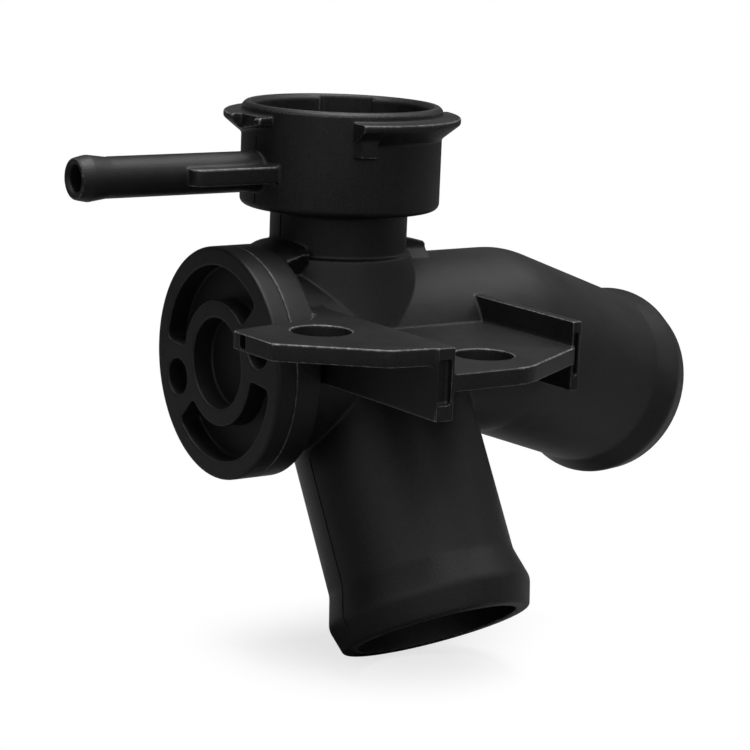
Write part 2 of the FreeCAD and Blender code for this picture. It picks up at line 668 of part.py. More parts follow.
def end_plug():
    """Round plug, recessed between its rim and hub, with two spokes that each carry a driving hole."""
    body = new_body("end_plug", PLUG_PLACE)
    floor = "(Sizes.plug_ring - Sizes.plug_recess)"
    over = f"Sizes.plug_ring + {OVERRUN}"
    profile = outline(body, "plug_profile", "XZ_Plane", [
        ("0", "-Sizes.plug_spigot"),
        ("Sizes.plug_spigot_radius", "-Sizes.plug_spigot", "Sizes.flange_edge_round"),
        ("Sizes.plug_spigot_radius", "0"),
        ("Sizes.flange_radius", "0", "Sizes.flange_edge_round"),
        ("Sizes.flange_radius", "Sizes.plug_ring", "Sizes.flange_edge_round"),
        ("0", "Sizes.plug_ring"),
    ])
    turned(body, "plug_turned", profile, "V_Axis")
    hub = circle(body, "hub_plan", "XY_Plane", "0", "0", "Sizes.hub_bore", lift=floor)
    padded(body, "hub_pocket", hub, f"Sizes.plug_recess + {OVERRUN}", cut=True, reverse=True)
    hole = circle(body, "spoke_hole_plan", "XY_Plane", "Sizes.spoke_hole_offset", "0",
                  "Sizes.spoke_hole_radius", lift=floor)
    drill = padded(body, "spoke_hole", hole, f"Sizes.plug_recess + {OVERRUN}", cut=True, reverse=True)
    round_copies(body, "spoke_holes", [drill])
    kidney = outline(body, "kidney_profile", "XZ_Plane", [
        ("Sizes.hub_radius", floor), ("Sizes.plug_recess_radius", floor),
        ("Sizes.plug_recess_radius", over), ("Sizes.hub_radius", over)])
    kidney.setExpression("AttachmentOffset.Rotation", "rotation(vector(0; 1; 0); Sizes.spoke_spread / 2)")
    recess = turned(body, "kidney", kidney, "V_Axis", "180 - Sizes.spoke_spread", cut=True)
    pair = round_copies(body, "kidneys", [recess])
    corners = body.newObject("PartDesign::Fillet", "kidney_corners")
    corners.Base = (pair, upright_edges(pair.Shape, "plug_recess_radius") + upright_edges(pair.Shape, "hub_radius"))
    bind(corners, Radius="Sizes.kidney_corner")
    body.Tip = corners
    doc.recompute()
    return body


parts = [pipe_body(), end_plug()]
for item in doc.Objects:
    if "Invalid" in item.State or "Error" in item.State:
        raise RuntimeError(f"{item.Name} failed: {item.State}")

os.makedirs("parts", exist_ok=True)
for part in parts:
    shape = part.Shape
    if shape.isNull() or not shape.isValid() or len(shape.Solids) != 1:
        raise RuntimeError(f"{part.Label} is not one valid solid")
    shape.exportStep(f"parts/{part.Label}.step")
    print(part.Label, round(shape.Volume), "mm3", shape.BoundBox)
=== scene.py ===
"""Looks of the three-way coolant pipe, laid out as an add-on and run as a script.

Every form is drawn in millimetres about the point where the neck's axis crosses the axis of the
main run, as the CAD source draws it. placed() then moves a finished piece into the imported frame,
whose origin is the centre of the bracket's near bolt hole.
"""

import math
from types import SimpleNamespace

import bmesh
import bpy
import numpy as np
from bpy.props import FloatProperty, FloatVectorProperty, IntProperty, PointerProperty
from mathutils import Matrix, Vector


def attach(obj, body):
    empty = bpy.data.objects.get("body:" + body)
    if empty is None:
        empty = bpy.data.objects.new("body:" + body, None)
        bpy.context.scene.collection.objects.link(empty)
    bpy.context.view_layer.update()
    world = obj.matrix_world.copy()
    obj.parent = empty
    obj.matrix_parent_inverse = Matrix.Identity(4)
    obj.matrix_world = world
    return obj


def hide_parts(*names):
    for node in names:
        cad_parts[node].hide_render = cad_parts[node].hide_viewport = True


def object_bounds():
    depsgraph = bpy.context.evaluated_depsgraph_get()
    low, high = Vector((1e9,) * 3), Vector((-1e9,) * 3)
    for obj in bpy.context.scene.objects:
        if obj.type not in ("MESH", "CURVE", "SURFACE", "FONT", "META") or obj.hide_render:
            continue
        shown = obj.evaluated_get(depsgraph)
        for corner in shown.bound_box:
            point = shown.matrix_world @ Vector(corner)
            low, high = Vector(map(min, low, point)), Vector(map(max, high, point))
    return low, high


bl_info = {
    "name": "Three-way coolant pipe",
    "version": (1, 0, 0),
    "blender": (4, 5, 0),
    "location": "3D View > Sidebar > Coolant pipe",
    "description": "Builds the moulded coolant pipe, its end plug, its moulding marks and the studio",
    "category": "Object",
}

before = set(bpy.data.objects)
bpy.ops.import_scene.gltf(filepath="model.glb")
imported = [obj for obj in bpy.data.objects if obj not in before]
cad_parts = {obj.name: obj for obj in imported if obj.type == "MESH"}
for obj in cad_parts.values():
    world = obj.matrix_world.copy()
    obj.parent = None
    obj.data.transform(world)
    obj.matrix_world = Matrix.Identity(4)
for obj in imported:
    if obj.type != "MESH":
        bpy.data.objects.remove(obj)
CAD_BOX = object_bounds()
MILLIMETRE = 0.001
IMAGE_WIDTH = 750

# Steps round a turned form, large and small, round a rounded corner and along a recess
FINE, COARSE = 224, 96
CORNER_STEPS, RECESS_STEPS = 8, 40

# How far a cutting form runs past the face that it opens, and how far a ball stays inside the
# walls that it joins, in millimetres
OVERRUN = 1.0
BALL_SPARE = 0.02

# How far bracket and posts reach inwards, as a share of the main run's bore
ROOT_SHARE = 0.75

# How much further than its flat end face a wing or a stop tab is swept before it is cut back
SPARE_ANGLE = math.radians(8)


def length(name, description, default):
    return FloatProperty(name=name, description=description, default=default * MILLIMETRE,
                         unit="LENGTH", precision=5)


def angle(name, description, default):
    return FloatProperty(name=name, description=description, default=math.radians(default),
                         unit="ROTATION")


def colour(name, description, default):
    return FloatVectorProperty(name=name, description=description, default=default, size=3,
                               min=0.0, max=1.0, subtype="COLOR")


def share(name, description, default, high=1.0):
    return FloatProperty(name=name, description=description, default=default, min=0.0, max=high)


# Sizes and finishes

class RunSizes(bpy.types.PropertyGroup):
    """Main run with its flange, and the large outlet beyond the elbow."""
    radius: length("Run radius", "Outer radius of the main run and the large outlet", 17.3)
    wall: length("Run wall", "Wall thickness of the main run", 2.6)
    flange_radius: length("Flange radius", "Outer radius of the end flange", 20.6)
    flange_rear: length("Flange rear", "Distance of the flange's rear face from the neck's axis", 15.9)
    flange_thickness: length("Flange thickness", "Thickness of the end flange", 5.2)
    edge_round: length("Flange edge", "Rounding of the flange's rim", 0.5)
    joint_round: length("Joint edge", "Rounding of both rims where the plug meets the flange", 0.15)
    foot_round: length("Flange foot", "Fillet between flange and run", 1.2)
    elbow: length("Elbow", "Distance of the elbow's centre from the neck's axis", 34.2)
    outlet_length: length("Outlet length", "From the elbow's centre to the mouth", 44.8)
    outlet_drop: angle("Outlet drop", "Fall of the large outlet below level", 18.8)
    outlet_swing: angle("Outlet swing", "Swing of the large outlet away from the bracket", 16.0)


class BeadSizes(bpy.types.PropertyGroup):
    """Hose bead, alike on both large ends."""
    height: length("Bead height", "Height of the bead above the wall", 1.55)
    flare: length("Bead flare", "Length of the slope behind the crest", 5.7)
    taper: length("Bead taper", "Length of the lead-in before the crest", 4.8)
    foot_round: length("Bead foot", "Rounding where the slope starts", 4.0)
    crest_round: length("Bead crest", "Rounding of the crest", 3.0)
    lip: length("Mouth lip", "How far the mouth stands above the wall", 0.15)
    mouth_round: length("Mouth edge", "Rounding of the mouth's outer edge", 0.6)


class BranchSizes(bpy.types.PropertyGroup):
    """Lower branch."""
    offset: length("Branch offset", "Distance of the branch from the neck's axis along the run", 6.1)
    radius: length("Branch radius", "Outer radius of the lower branch", 16.95)
    wall: length("Branch wall", "Wall thickness of the lower branch", 2.4)
    length: length("Branch length", "From the run's axis to the mouth", 53.0)
    tilt: angle("Branch tilt", "Lean of the branch towards the bracket's side", 30.4)


class NeckSizes(bpy.types.PropertyGroup):
    """Filler neck: collar, throat, barrel, seat and rim."""
    throat_radius: length("Throat radius", "Outer radius of the throat", 12.3)
    throat_wall: length("Throat wall", "Wall thickness of the throat", 2.5)
    collar_radius: length("Collar radius", "Outer radius of the collar at the throat's foot", 13.1)
    collar_height: length("Collar height", "Top of the collar above the run's axis", 18.9)
    flare_radius: length("Flare radius", "Radius of the collar's flare where it runs out on the run", 16.6)
    flare_foot: length("Flare foot", "Height at which the collar's flare runs out on the run", 4.4)
    radius: length("Neck radius", "Outer radius of the barrel", 17.85)
    wall: length("Neck wall", "Wall thickness of the barrel", 2.2)
    underside: length("Neck underside", "Height of the barrel's underside", 26.9)
    floor: length("Neck floor", "Thickness of the barrel's floor", 2.6)
    corner_round: length("Neck corner", "Rounding of the barrel's lower corner", 1.1)
    collar_round: length("Collar edge", "Rounding of the collar's upper edge", 0.5)
    foot_round: length("Inner corner", "Fillet inside the barrel's floor", 1.4)
    rim_height: length("Rim height", "Height of the rim above the run's axis", 45.2)
    rim_bevel: length("Rim bevel", "Outer bevel of the rim", 0.65)
    inner_bevel: length("Inner bevel", "Inner bevel of the rim", 0.8)
    seat_radius: length("Seat radius", "Outer radius of the cap's seat", 12.6)
    seat_height: length("Seat height", "Height of the cap's seat", 1.1)
    seat_slope: length("Seat slope", "Run of the seat's sloped edge", 0.6)


class WingSizes(bpy.types.PropertyGroup):
    """Two wings for the pressure cap, with ramps, notches and stop tabs."""
    radius: length("Wing radius", "Outer radius of the wings", 21.1)
    drop: length("Wing drop", "How far the wings' top lies under the rim", 1.7)
    edge: length("Wing edge", "Thickness of the wings' outer edge", 1.2)
    root: length("Wing root", "Thickness of the wings at the barrel", 3.85)
    edge_round: length("Wing edge round", "Rounding of the wings' outer edge", 0.4)
    start: angle("Wing start", "Where the first wing starts, from +X", -114.8)
    span: angle("Wing span", "Angle that one wing takes up", 129.0)
    ramp_from: angle("Ramp start", "Where the underside starts to rise", 88.0)
    ramp_rise: length("Ramp rise", "How far the underside rises", 2.75)
    notch_radius: length("Notch radius", "Radius of the notch's floor", 19.1)
    notch_from: angle("Notch start", "Where the notch starts on the wing", 105.0)
    notch_span: angle("Notch span", "Angle that the notch takes up", 20.0)
    tab_span: angle("Tab span", "Angle that the stop tab takes up", 12.8)
    tab_lead: angle("Tab lead", "How far the tab starts before the wing", 2.5)
    end_face: length("End face", "Distance of the flat end of wing and tab from the neck's axis", 8.25)
    tab_face: length("Tab face", "Distance of the tab's end face from the neck's axis, at the barrel", 8.19)
    tab_slant: angle("Tab slant", "Turn of the tab's end face from straight outwards", 21.1)
    tab_radius: length("Tab radius", "Outer radius of the stop tab", 19.2)
    tab_reach: length("Tab reach", "How far the tab hangs under the wing's root", 2.1)
    relief_depth: length("Relief depth", "Depth of the reliefs inside the rim", 0.4)
    relief_reach: length("Relief reach", "Height of the reliefs", 6.0)
    relief_start: angle("Relief start", "Where the first relief starts, from +X", 36.0)
    relief_span: angle("Relief span", "Angle that a relief takes up", 35.3)


class NippleSizes(bpy.types.PropertyGroup):
    """Overflow nipple and its fins."""
    height: length("Nipple height", "Height of the nipple's axis", 33.7)
    radius: length("Nipple radius", "Outer radius of the nipple", 3.5)
    bore: length("Nipple bore", "Radius of the passage", 2.3)
    tip: length("Nipple tip", "Distance of the tip from the neck's axis", 53.5)
    bead: length("Nipple bead", "Height of the nipple's bead", 0.5)
    bead_run: length("Bead run", "Length of the beaded nose", 6.2)
    nose: length("Nose", "Length of the nose before the crest", 2.4)
    mouth: length("Mouth", "Radius of the flared mouth", 2.85)
    mouth_depth: length("Mouth depth", "Depth of the flare", 0.6)
    fin_reach: length("Fin reach", "Distance of the fins' end from the neck's axis", 33.3)
    fin_half_width: length("Fin half width", "Reach of the fins on each side", 6.2)
    fin_thickness: length("Fin thickness", "Thickness of the fins", 3.0)
    fin_corner: length("Fin corner", "Rounding of the fins' corners", 1.6)


class WebSizes(bpy.types.PropertyGroup):
    """Gusset and web at the throat's foot."""
    gusset_rise: length("Gusset rise", "How far the gusset rises above the flange's rim", 0.9)
    gusset_angle: angle("Gusset angle", "Angle that the gusset takes up round the run's axis", 45.0)
    reach: length("Web reach", "Reach of the web from the neck's axis", 18.1)
    height: length("Web height", "Height of the web at the throat", 21.2)
    drop: length("Web drop", "How far the web falls towards its end", 1.5)
    nose: length("Web nose", "Rounding of the web's end", 0.9)
    thickness: length("Web thickness", "Thickness of the web", 3.6)
    foot: length("Web foot", "Half width of the web's foot on the run", 3.4)
    foot_rise: length("Web foot rise", "How far the web's foot rises above the run", 1.4)


class BracketSizes(bpy.types.PropertyGroup):
    """Mounting bracket: a high and a low plate between two posts."""
    thickness: length("Plate thickness", "Thickness of both plates", 3.0)
    high_top: length("High plate", "Height of the high plate's top", 11.4)
    low_top: length("Low plate", "Height of the low plate's top", 6.9)
    reach: length("Plate reach", "Reach of the plates from the run's axis", 52.0)
    post_near: length("Near post", "Place of the near post along the run", 11.2)
    post_near_width: length("Near post width", "Thickness of the near post", 3.5)
    post_far: length("Far post", "Place of the far post along the run", 23.3)
    post_far_width: length("Far post width", "Thickness of the far post", 1.85)
    post_far_reach: length("Far post reach", "Reach of the far post", 41.5)
    post_foot: length("Post foot", "How far the posts reach below the run's axis", 0.8)
    groove_skin: length("Groove's left skin", "Wall left of the near post's groove", 0.3)
    groove_skin_right: length("Groove's right skin", "Wall right of the near post's groove", 0.6)
    groove_skin_far: length("Far groove's skins", "Walls beside the far post's groove", 0.5)
    groove_depth: length("Groove depth", "Depth of the grooves in the posts' outer ends", 1.1)
    groove_low: length("Groove foot", "Height of the grooves' lower end", 1.9)
    groove_top: length("Groove top", "How far the grooves stay under the posts' top", 2.1)
    tip_reach: length("Tip reach", "Reach of the high plate's tip along the run", 37.3)
    tip_back: length("Tip back", "Distance of the tip's back corner from the run's axis", 25.4)
    tip_back_round: length("Tip back round", "Rounding of the tip's back corner", 1.3)
    tip_front: length("Tip front", "Distance of the tip's front corner from the run's axis", 37.7)
    tip_corner_reach: length("Tip corner reach", "Place of the front edge's corner along the run", 22.8)
    tip_corner_depth: length("Tip corner depth", "How far that corner lies behind the near post", 1.8)
    tip_corner_round: length("Tip corner round", "Rounding of that corner", 4.0)
    back_bend_reach: length("Back bend reach", "Place of the back edge's bend along the run", 28.7)
    back_bend: length("Back bend", "Distance of the bend from the run's axis", 23.4)
    back_corner_reach: length("Back corner reach", "Place of the back edge's corner along the run", 20.0)
    back_corner: length("Back corner", "Distance of that corner from the run's axis", 22.2)
    back_corner_round: length("Back corner round", "Rounding of that corner", 1.5)
    back_foot: length("Back foot", "Where the back edge meets the flange", 17.6)
    low_corner: length("Low corner", "Place of the low plate's corner along the run", 4.5)
    low_corner_round: length("Low corner round", "Rounding of the low plate's corner", 9.0)
    slot_inset: length("Slot inset", "Distance of the slot from the tip's back corner", 2.35)
    slot_width: length("Slot width", "Width of the slot in the tip", 1.9)
    slot_skin: length("Slot skin", "Wall above and below the slot", 0.35)
    slot_depth: length("Slot depth", "Depth of the slot", 1.6)
    hole_radius: length("Bolt hole", "Radius of both bolt holes", 5.1)
    near_x: length("Near hole X", "Place of the near bolt hole along the run", -23.7)
    near_y: length("Near hole Y", "Place of the near bolt hole across the run", -31.4)
    far_x: length("Far hole X", "Place of the far bolt hole along the run", 3.4)
    far_y: length("Far hole Y", "Place of the far bolt hole across the run", -40.3)


class PlugSizes(bpy.types.PropertyGroup):
    """Spin-welded end plug."""
    ring: length("Plug ring", "Thickness of the plug outside the flange", 3.65)
    spigot: length("Spigot", "Depth of the spigot inside the flange", 2.1)
    spigot_radius: length("Spigot radius", "Radius of the spigot", 18.4)
    clearance: length("Clearance", "Gap around the spigot", 0.1)
    recess: length("Recess", "Depth of the recesses", 4.1)
    recess_radius: length("Recess radius", "Outer radius of the recesses", 17.3)
    hub_radius: length("Hub radius", "Outer radius of the hub", 11.1)
    hub_bore: length("Hub bore", "Radius of the hub's pocket", 8.1)
    hole_radius: length("Spoke hole", "Radius of the driving holes", 3.3)
    hole_offset: length("Spoke hole offset", "Distance of the driving holes from the centre", 14.2)
    tilt: angle("Spoke tilt", "Turn of the spokes from upright", 20.0)
    spread: angle("Spoke spread", "Angle that one spoke takes up", 50.5)
    corner: length("Recess corner", "Rounding of the recesses' corners", 1.2)
    edge_round: length("Plug edge", "Rounding of the plug's outer edges", 0.5)


class LineSizes(bpy.types.PropertyGroup):
    """Fine ridges where the mould's halves met."""
    radius: length("Line radius", "Radius of the ridges", 0.19)
    branch_from: length("Branch line", "Where the branch's line starts, from the run's axis", 19.0)
    barrel_top: length("Barrel line", "How far the barrel's line stays under the rim", 5.4)
    throat_from: length("Throat line", "How far above the collar the throat's line starts", 2.4)


class SkinSettings(bpy.types.PropertyGroup):
    """How finely the visible skin is made."""
    body_cell: length("Body cell", "Cell of the body's skin", 0.25)
    plug_cell: length("Plug cell", "Cell of the plug's skin", 0.2)
    softening: IntProperty(name="Softening", description="Rounds of smoothing on every edge",
                           default=3, min=0, max=40)
    triangles: IntProperty(name="Triangles", description="Most triangles that one piece may have",
                           default=190000, min=1000)


class FinishSettings(bpy.types.PropertyGroup):
    """Colours and gloss of the moulded plastic."""
    body: colour("Body colour", "Black glass-filled polyamide", (0.0085, 0.0086, 0.0089))
    plug: colour("Plug colour", "Black polyamide with a fine matt face", (0.0075, 0.0076, 0.0078))
    gloss: share("Roughness", "Mean roughness of the body's skin", 0.42)
    plug_gloss: share("Plug roughness", "Mean roughness of the plug's skin", 0.48)
    grain: length("Grain", "Size of the body's grain", 0.22)
    plug_grain: length("Plug grain", "Size of the plug's grain", 0.16)
    level: share("Specular level", "Strength of the reflection at right angles", 0.16)
    # The pale edges set here are partly real scuffing and partly a painted highlight on the rounded edges
    wear_and_highlight: share("Wear", "How pale the body's worn edges are", 0.8)
    plug_wear_and_highlight: share("Plug wear", "How pale the plug's worn edges are", 0.15)


class StageSettings(bpy.types.PropertyGroup):
    """Camera and light of the studio."""
    azimuth: angle("Azimuth", "Turn of the camera about the neck's axis", 34.835)
    elevation: angle("Elevation", "Height of the camera above level", 11.608)
    roll: angle("Roll", "Lean of the camera", 2.279)
    pan_right: length("Pan right", "Shift of the camera to its right", 7.465)
    pan_up: length("Pan up", "Shift of the camera upwards", -4.036)
    distance: length("Distance", "Distance of the camera from the neck's foot", 462.596)
    focal_pixels: FloatProperty(name="Focal length", description="Focal length in pixels of the photograph",
                                default=2558.0)
    floor: colour("Floor colour", "Grey studio floor", (0.3, 0.3, 0.3))
    shadow_lift: share("Shadow lift", "How pale the object's shadow stays", 0.74)
    shadow_x: length("Shadow X", "Middle of the shadow in the packed frame, along the run", 34.5)
    shadow_y: length("Shadow Y", "Middle of the shadow in the packed frame, across the run", 28.5)
    shadow_core: length("Shadow core", "Distance within which the floor shows its shadow in full", 10.0)
    shadow_reach: length("Shadow reach", "Distance beyond which the floor shows white", 42.0)
    sky: share("Ambient light", "Strength of the even light from all round", 0.05, 4.0)
    tent: share("Overhead reflections", "Reflected brightness of the tent above and in front", 1.5, 4.0)
    side_tent: share("Side reflections", "Reflected brightness of the tent's right side", 0.3)
    backdrop: share("Backdrop reflections", "Reflected brightness of the backdrop", 0.12)


class CoolantPipeSettings(bpy.types.PropertyGroup):
    """Everything that a user may change."""
    run: PointerProperty(type=RunSizes)
    bead: PointerProperty(type=BeadSizes)
    branch: PointerProperty(type=BranchSizes)
    neck: PointerProperty(type=NeckSizes)
    wing: PointerProperty(type=WingSizes)
    nipple: PointerProperty(type=NippleSizes)
    web: PointerProperty(type=WebSizes)
    bracket: PointerProperty(type=BracketSizes)
    plug: PointerProperty(type=PlugSizes)
    line: PointerProperty(type=LineSizes)
    skin: PointerProperty(type=SkinSettings)
    finish: PointerProperty(type=FinishSettings)
    stage: PointerProperty(type=StageSettings)


def read(name):
    """A group's values with lengths in millimetres and angles in radians."""
    group = getattr(bpy.context.scene.coolant_pipe, name)
    values = {}
    for key, prop in group.bl_rna.properties.items():
        if key in ("rna_type", "name"):
            continue
        value = getattr(group, key)
        values[key] = value / MILLIMETRE if getattr(prop, "unit", "") == "LENGTH" else value
    return SimpleNamespace(**values)


# Geometry nodes

def socket_ids(tree):
    return {item.name: item.identifier for item in tree.interface.items_tree
            if item.item_type == "SOCKET" and item.in_out == "INPUT"}


class Tree:
    """Small writer for a geometry node tree with named inputs."""

    def __init__(self, name, inputs):
        self.tree = bpy.data.node_groups.new(name, "GeometryNodeTree")
        self.tree.interface.new_socket("Geometry", in_out="INPUT", socket_type="NodeSocketGeometry")
        for title, kind, value in inputs:
            socket = self.tree.interface.new_socket(title, in_out="INPUT", socket_type="NodeSocket" + kind)
            if value is not None:
                socket.default_value = value
        self.tree.interface.new_socket("Geometry", in_out="OUTPUT", socket_type="NodeSocketGeometry")
        self.inputs = self.tree.nodes.new("NodeGroupInput").outputs

    def add(self, kind, settings=None, **sockets):
        node = self.tree.nodes.new(kind)
        for key, value in (settings or {}).items():
            setattr(node, key, value)
        for key, value in sockets.items():
            self.feed(node.inputs[key.replace("_", " ")], value)
        return node

    def feed(self, socket, value):
        if isinstance(value, bpy.types.NodeSocket):
            self.tree.links.new(value, socket)
        else:
            socket.default_value = value

    def finish(self, geometry):
        """Ends the tree in Realize Instances and Set Material."""
        real = self.add("GeometryNodeRealizeInstances", Geometry=geometry)
        last = self.add("GeometryNodeSetMaterial", Geometry=real.outputs[0], Material=self.inputs["Material"])
        out = self.tree.nodes.new("NodeGroupOutput")
        self.tree.links.new(last.outputs[0], out.inputs[0])
        return self.tree


def turned_tree():
    """A profile of (radius, height) turned about Z: the rule behind every round form of the pipe."""
    t = Tree("Turned form", (("Steps", "Int", FINE), ("Start", "Float", 0.0), ("Span", "Float", math.tau),
                             ("Whole", "Bool", True), ("Path Radius", "Float", 1.0),
                             ("Material", "Material", None)))
    profile = t.add("GeometryNodeMeshToCurve", Mesh=t.inputs["Geometry"])
    inward = t.add("ShaderNodeMath", {"operation": "MULTIPLY"})
    t.feed(inward.inputs[0], t.inputs["Path Radius"])
    t.feed(inward.inputs[1], -1.0)
    step_in = t.add("ShaderNodeCombineXYZ", X=inward.outputs[0])
    offset = t.add("GeometryNodeTransform", Geometry=profile.outputs[0], Translation=step_in.outputs[0])
    ring = t.add("GeometryNodeCurvePrimitiveCircle", Resolution=t.inputs["Steps"],
                 Radius=t.inputs["Path Radius"])
    arc = t.add("GeometryNodeCurveArc", Resolution=t.inputs["Steps"], Radius=t.inputs["Path Radius"],
                Start_Angle=t.inputs["Start"], Sweep_Angle=t.inputs["Span"])
    path = t.add("GeometryNodeSwitch", {"input_type": "GEOMETRY"}, Switch=t.inputs["Whole"])
    t.feed(path.inputs[1], arc.outputs[0])
    t.feed(path.inputs[2], ring.outputs[0])
    level = t.add("GeometryNodeSetCurveNormal", {"mode": "Z_UP"}, Curve=path.outputs[0])
    swept = t.add("GeometryNodeCurveToMesh", Curve=level.outputs[0], Profile_Curve=offset.outputs[0],
                  Fill_Caps=True)
    closed = t.add("GeometryNodeMergeByDistance", Geometry=swept.outputs[0], Distance=1e-4)
    return t.finish(closed.outputs[0])


def line_tree():
    """A drawn line swept with a small round section: the rule behind every moulding line."""
    t = Tree("Moulding line", (("Radius", "Float", 0.19), ("Material", "Material", None)))
    line = t.add("GeometryNodeMeshToCurve", Mesh=t.inputs["Geometry"])
    section = t.add("GeometryNodeCurvePrimitiveCircle", Resolution=8, Radius=t.inputs["Radius"])
    swept = t.add("GeometryNodeCurveToMesh", Curve=line.outputs[0], Profile_Curve=section.outputs[0],
                  Fill_Caps=True)
    return t.finish(swept.outputs[0])


def evaluated(obj, name):
    """The evaluated object as a plain mesh; its modifiers are removed."""
    graph = bpy.context.evaluated_depsgraph_get()
    mesh = bpy.data.meshes.new_from_object(obj.evaluated_get(graph))
    mesh.name = name
    obj.modifiers.clear()
    old = obj.data
    obj.data = mesh
    if old.users == 0:
        bpy.data.meshes.remove(old)
    return obj


def with_nodes(obj, tree, name, **inputs):
    """Runs a node tree on an object and keeps the plain mesh."""
    modifier = obj.modifiers.new(tree.name, "NODES")
    modifier.node_group = tree
    ids = socket_ids(tree)
    for key, value in inputs.items():
        modifier[ids[key.replace("_", " ")]] = value
    return evaluated(obj, name)


# Forms

def sweep_between(first, last):
    """Angle from one flat vector to another, counted positive anticlockwise."""
    return math.atan2(first.x * last.y - first.y * last.x, first.dot(last))


def swung(centre, arm, sweep, steps):
    """Points that an arm reaches while it swings about a centre."""
    points = []
    for step in range(steps + 1):
        turned_by = sweep * step / steps
        cos, sin = math.cos(turned_by), math.sin(turned_by)
        points.append(centre + Vector((arm.x * cos - arm.y * sin, arm.x * sin + arm.y * cos)))
    return points


def rounded(corners):
    """Outline whose corners (x, y, radius) are turned into arcs."""
    points = []
    for k, corner in enumerate(corners):
        here = Vector(corner[:2])
        radius = corner[2] if len(corner) > 2 else 0.0
        if not radius:
            points.append(here)
            continue
        before = (Vector(corners[k - 1][:2]) - here).normalized()
        after = (Vector(corners[(k + 1) % len(corners)][:2]) - here).normalized()
        half = before.angle(after) / 2
        centre = here + (before + after).normalized() * (radius / math.sin(half))
        first = here + before * (radius / math.tan(half)) - centre
        last = here + after * (radius / math.tan(half)) - centre
        points.extend(swung(centre, first, sweep_between(first, last), CORNER_STEPS))
    return points


def linked(mesh, name):
    obj = bpy.data.objects.new(name, mesh)
    bpy.context.collection.objects.link(obj)
    return obj


def cleaned(obj, place):
    """Places a form, merges its doubles and points its faces outwards."""
    bm = bmesh.new()
    bm.from_mesh(obj.data)
    bmesh.ops.remove_doubles(bm, verts=bm.verts, dist=1e-4)
    bmesh.ops.dissolve_degenerate(bm, dist=1e-5, edges=bm.edges)
    bm.transform(place)
    bmesh.ops.recalc_face_normals(bm, faces=bm.faces)
    if bm.calc_volume(signed=True) < 0:
        bmesh.ops.reverse_faces(bm, faces=bm.faces)
    bm.to_mesh(obj.data)
    bm.free()
    return obj


def turned(name, corners, place=Matrix(), start=0.0, span=math.tau, steps=FINE):
    """Solid turned about its local Z axis from (radius, height, rounding) corners."""
    outline = rounded(corners)
    whole = span >= math.tau
    count = len(outline)
    edges = [(k, k + 1) for k in range(count - 1)]
    if not (whole and outline[0].x == 0 and outline[-1].x == 0):
        edges.append((count - 1, 0))
    mesh = bpy.data.meshes.new(name)
    mesh.from_pydata([(p.x, -p.y, 0) for p in outline], edges, [])
    radii = [p.x for p in outline]
    obj = with_nodes(linked(mesh, name), TREES["turned"], name, Whole=whole, Start=start, Span=span,
                     Steps=steps if whole else max(4, round(steps * span / math.tau)),
                     Path_Radius=max(1.0, (min(radii) + max(radii)) / 2))
    return cleaned(obj, place)


def prism(name, corners, low, high, place=Matrix()):
    """Solid between two heights from an outline in its local XY plane."""
    outline = rounded(corners)
    bm = bmesh.new()
    base = [bm.verts.new((p.x, p.y, low)) for p in outline]
    top = [bm.verts.new((p.x, p.y, high)) for p in outline]
    bm.faces.new(list(reversed(base)))
    bm.faces.new(top)
    for k in range(len(base)):
        n = (k + 1) % len(base)
        bm.faces.new((base[k], base[n], top[n], top[k]))
    mesh = bpy.data.meshes.new(name)
    bm.to_mesh(mesh)
    bm.free()
    return cleaned(linked(mesh, name), place)


def merged(pieces, operation="UNION"):
    """First piece joined with, or cut by, all the others."""
    base = pieces[0]
    for other in pieces[1:]:
        modifier = base.modifiers.new("with " + other.name, "BOOLEAN")
        modifier.object = other
        modifier.operation = operation
        modifier.solver = "MANIFOLD"
        evaluated(base, base.name)
        bpy.data.objects.remove(other)
    return base


def turn(axis, radians):
    return Matrix.Rotation(radians, 4, axis)


def shift(x, y, z):
    return Matrix.Translation((x, y, z))


QUARTER = math.pi / 2
ALONG_RUN = turn("Y", QUARTER)
ACROSS_RUN = Matrix(((0, 0, 1, 0), (1, 0, 0, 0), (0, 1, 0, 0), (0, 0, 0, 1)))


def outlet_place():
    run = read("run")
    return (shift(run.elbow, 0, 0) @ turn("Z", run.outlet_swing) @ turn("Y", run.outlet_drop) @ ALONG_RUN)


def branch_place():
    branch = read("branch")
    return shift(branch.offset, 0, 0) @ turn("X", math.pi - branch.tilt)


def nipple_place(nipple):
    return shift(0, 0, nipple.height) @ turn("Y", -QUARTER)


def home():
    bracket = read("bracket")
    return Vector((-bracket.near_x, -bracket.near_y, -bracket.high_top))


def stub(name, radius, reach, place):
    """Hose end: plain wall, flared bead and tapered lead-in."""
    bead = read("bead")
    crest = reach - bead.taper
    return turned(name, [(0, 0), (radius, 0), (radius, crest - bead.flare, bead.foot_round),
                         (radius + bead.height, crest, bead.crest_round),
                         (radius + bead.lip, reach, bead.mouth_round), (0, reach)], place)


def cylinder(name, radius, low, high, place, steps=COARSE):
    """Plain round rod between two heights of its own axis."""
    return turned(name, [(0, low), (radius, low), (radius, high), (0, high)], place, steps=steps)


def ball(name, radius, centre):
    bands = 64
    arc = [(radius * math.sin(math.pi * k / bands), -radius * math.cos(math.pi * k / bands))
           for k in range(1, bands)]
    return turned(name, [(0, -radius), *arc, (0, radius)], centre)


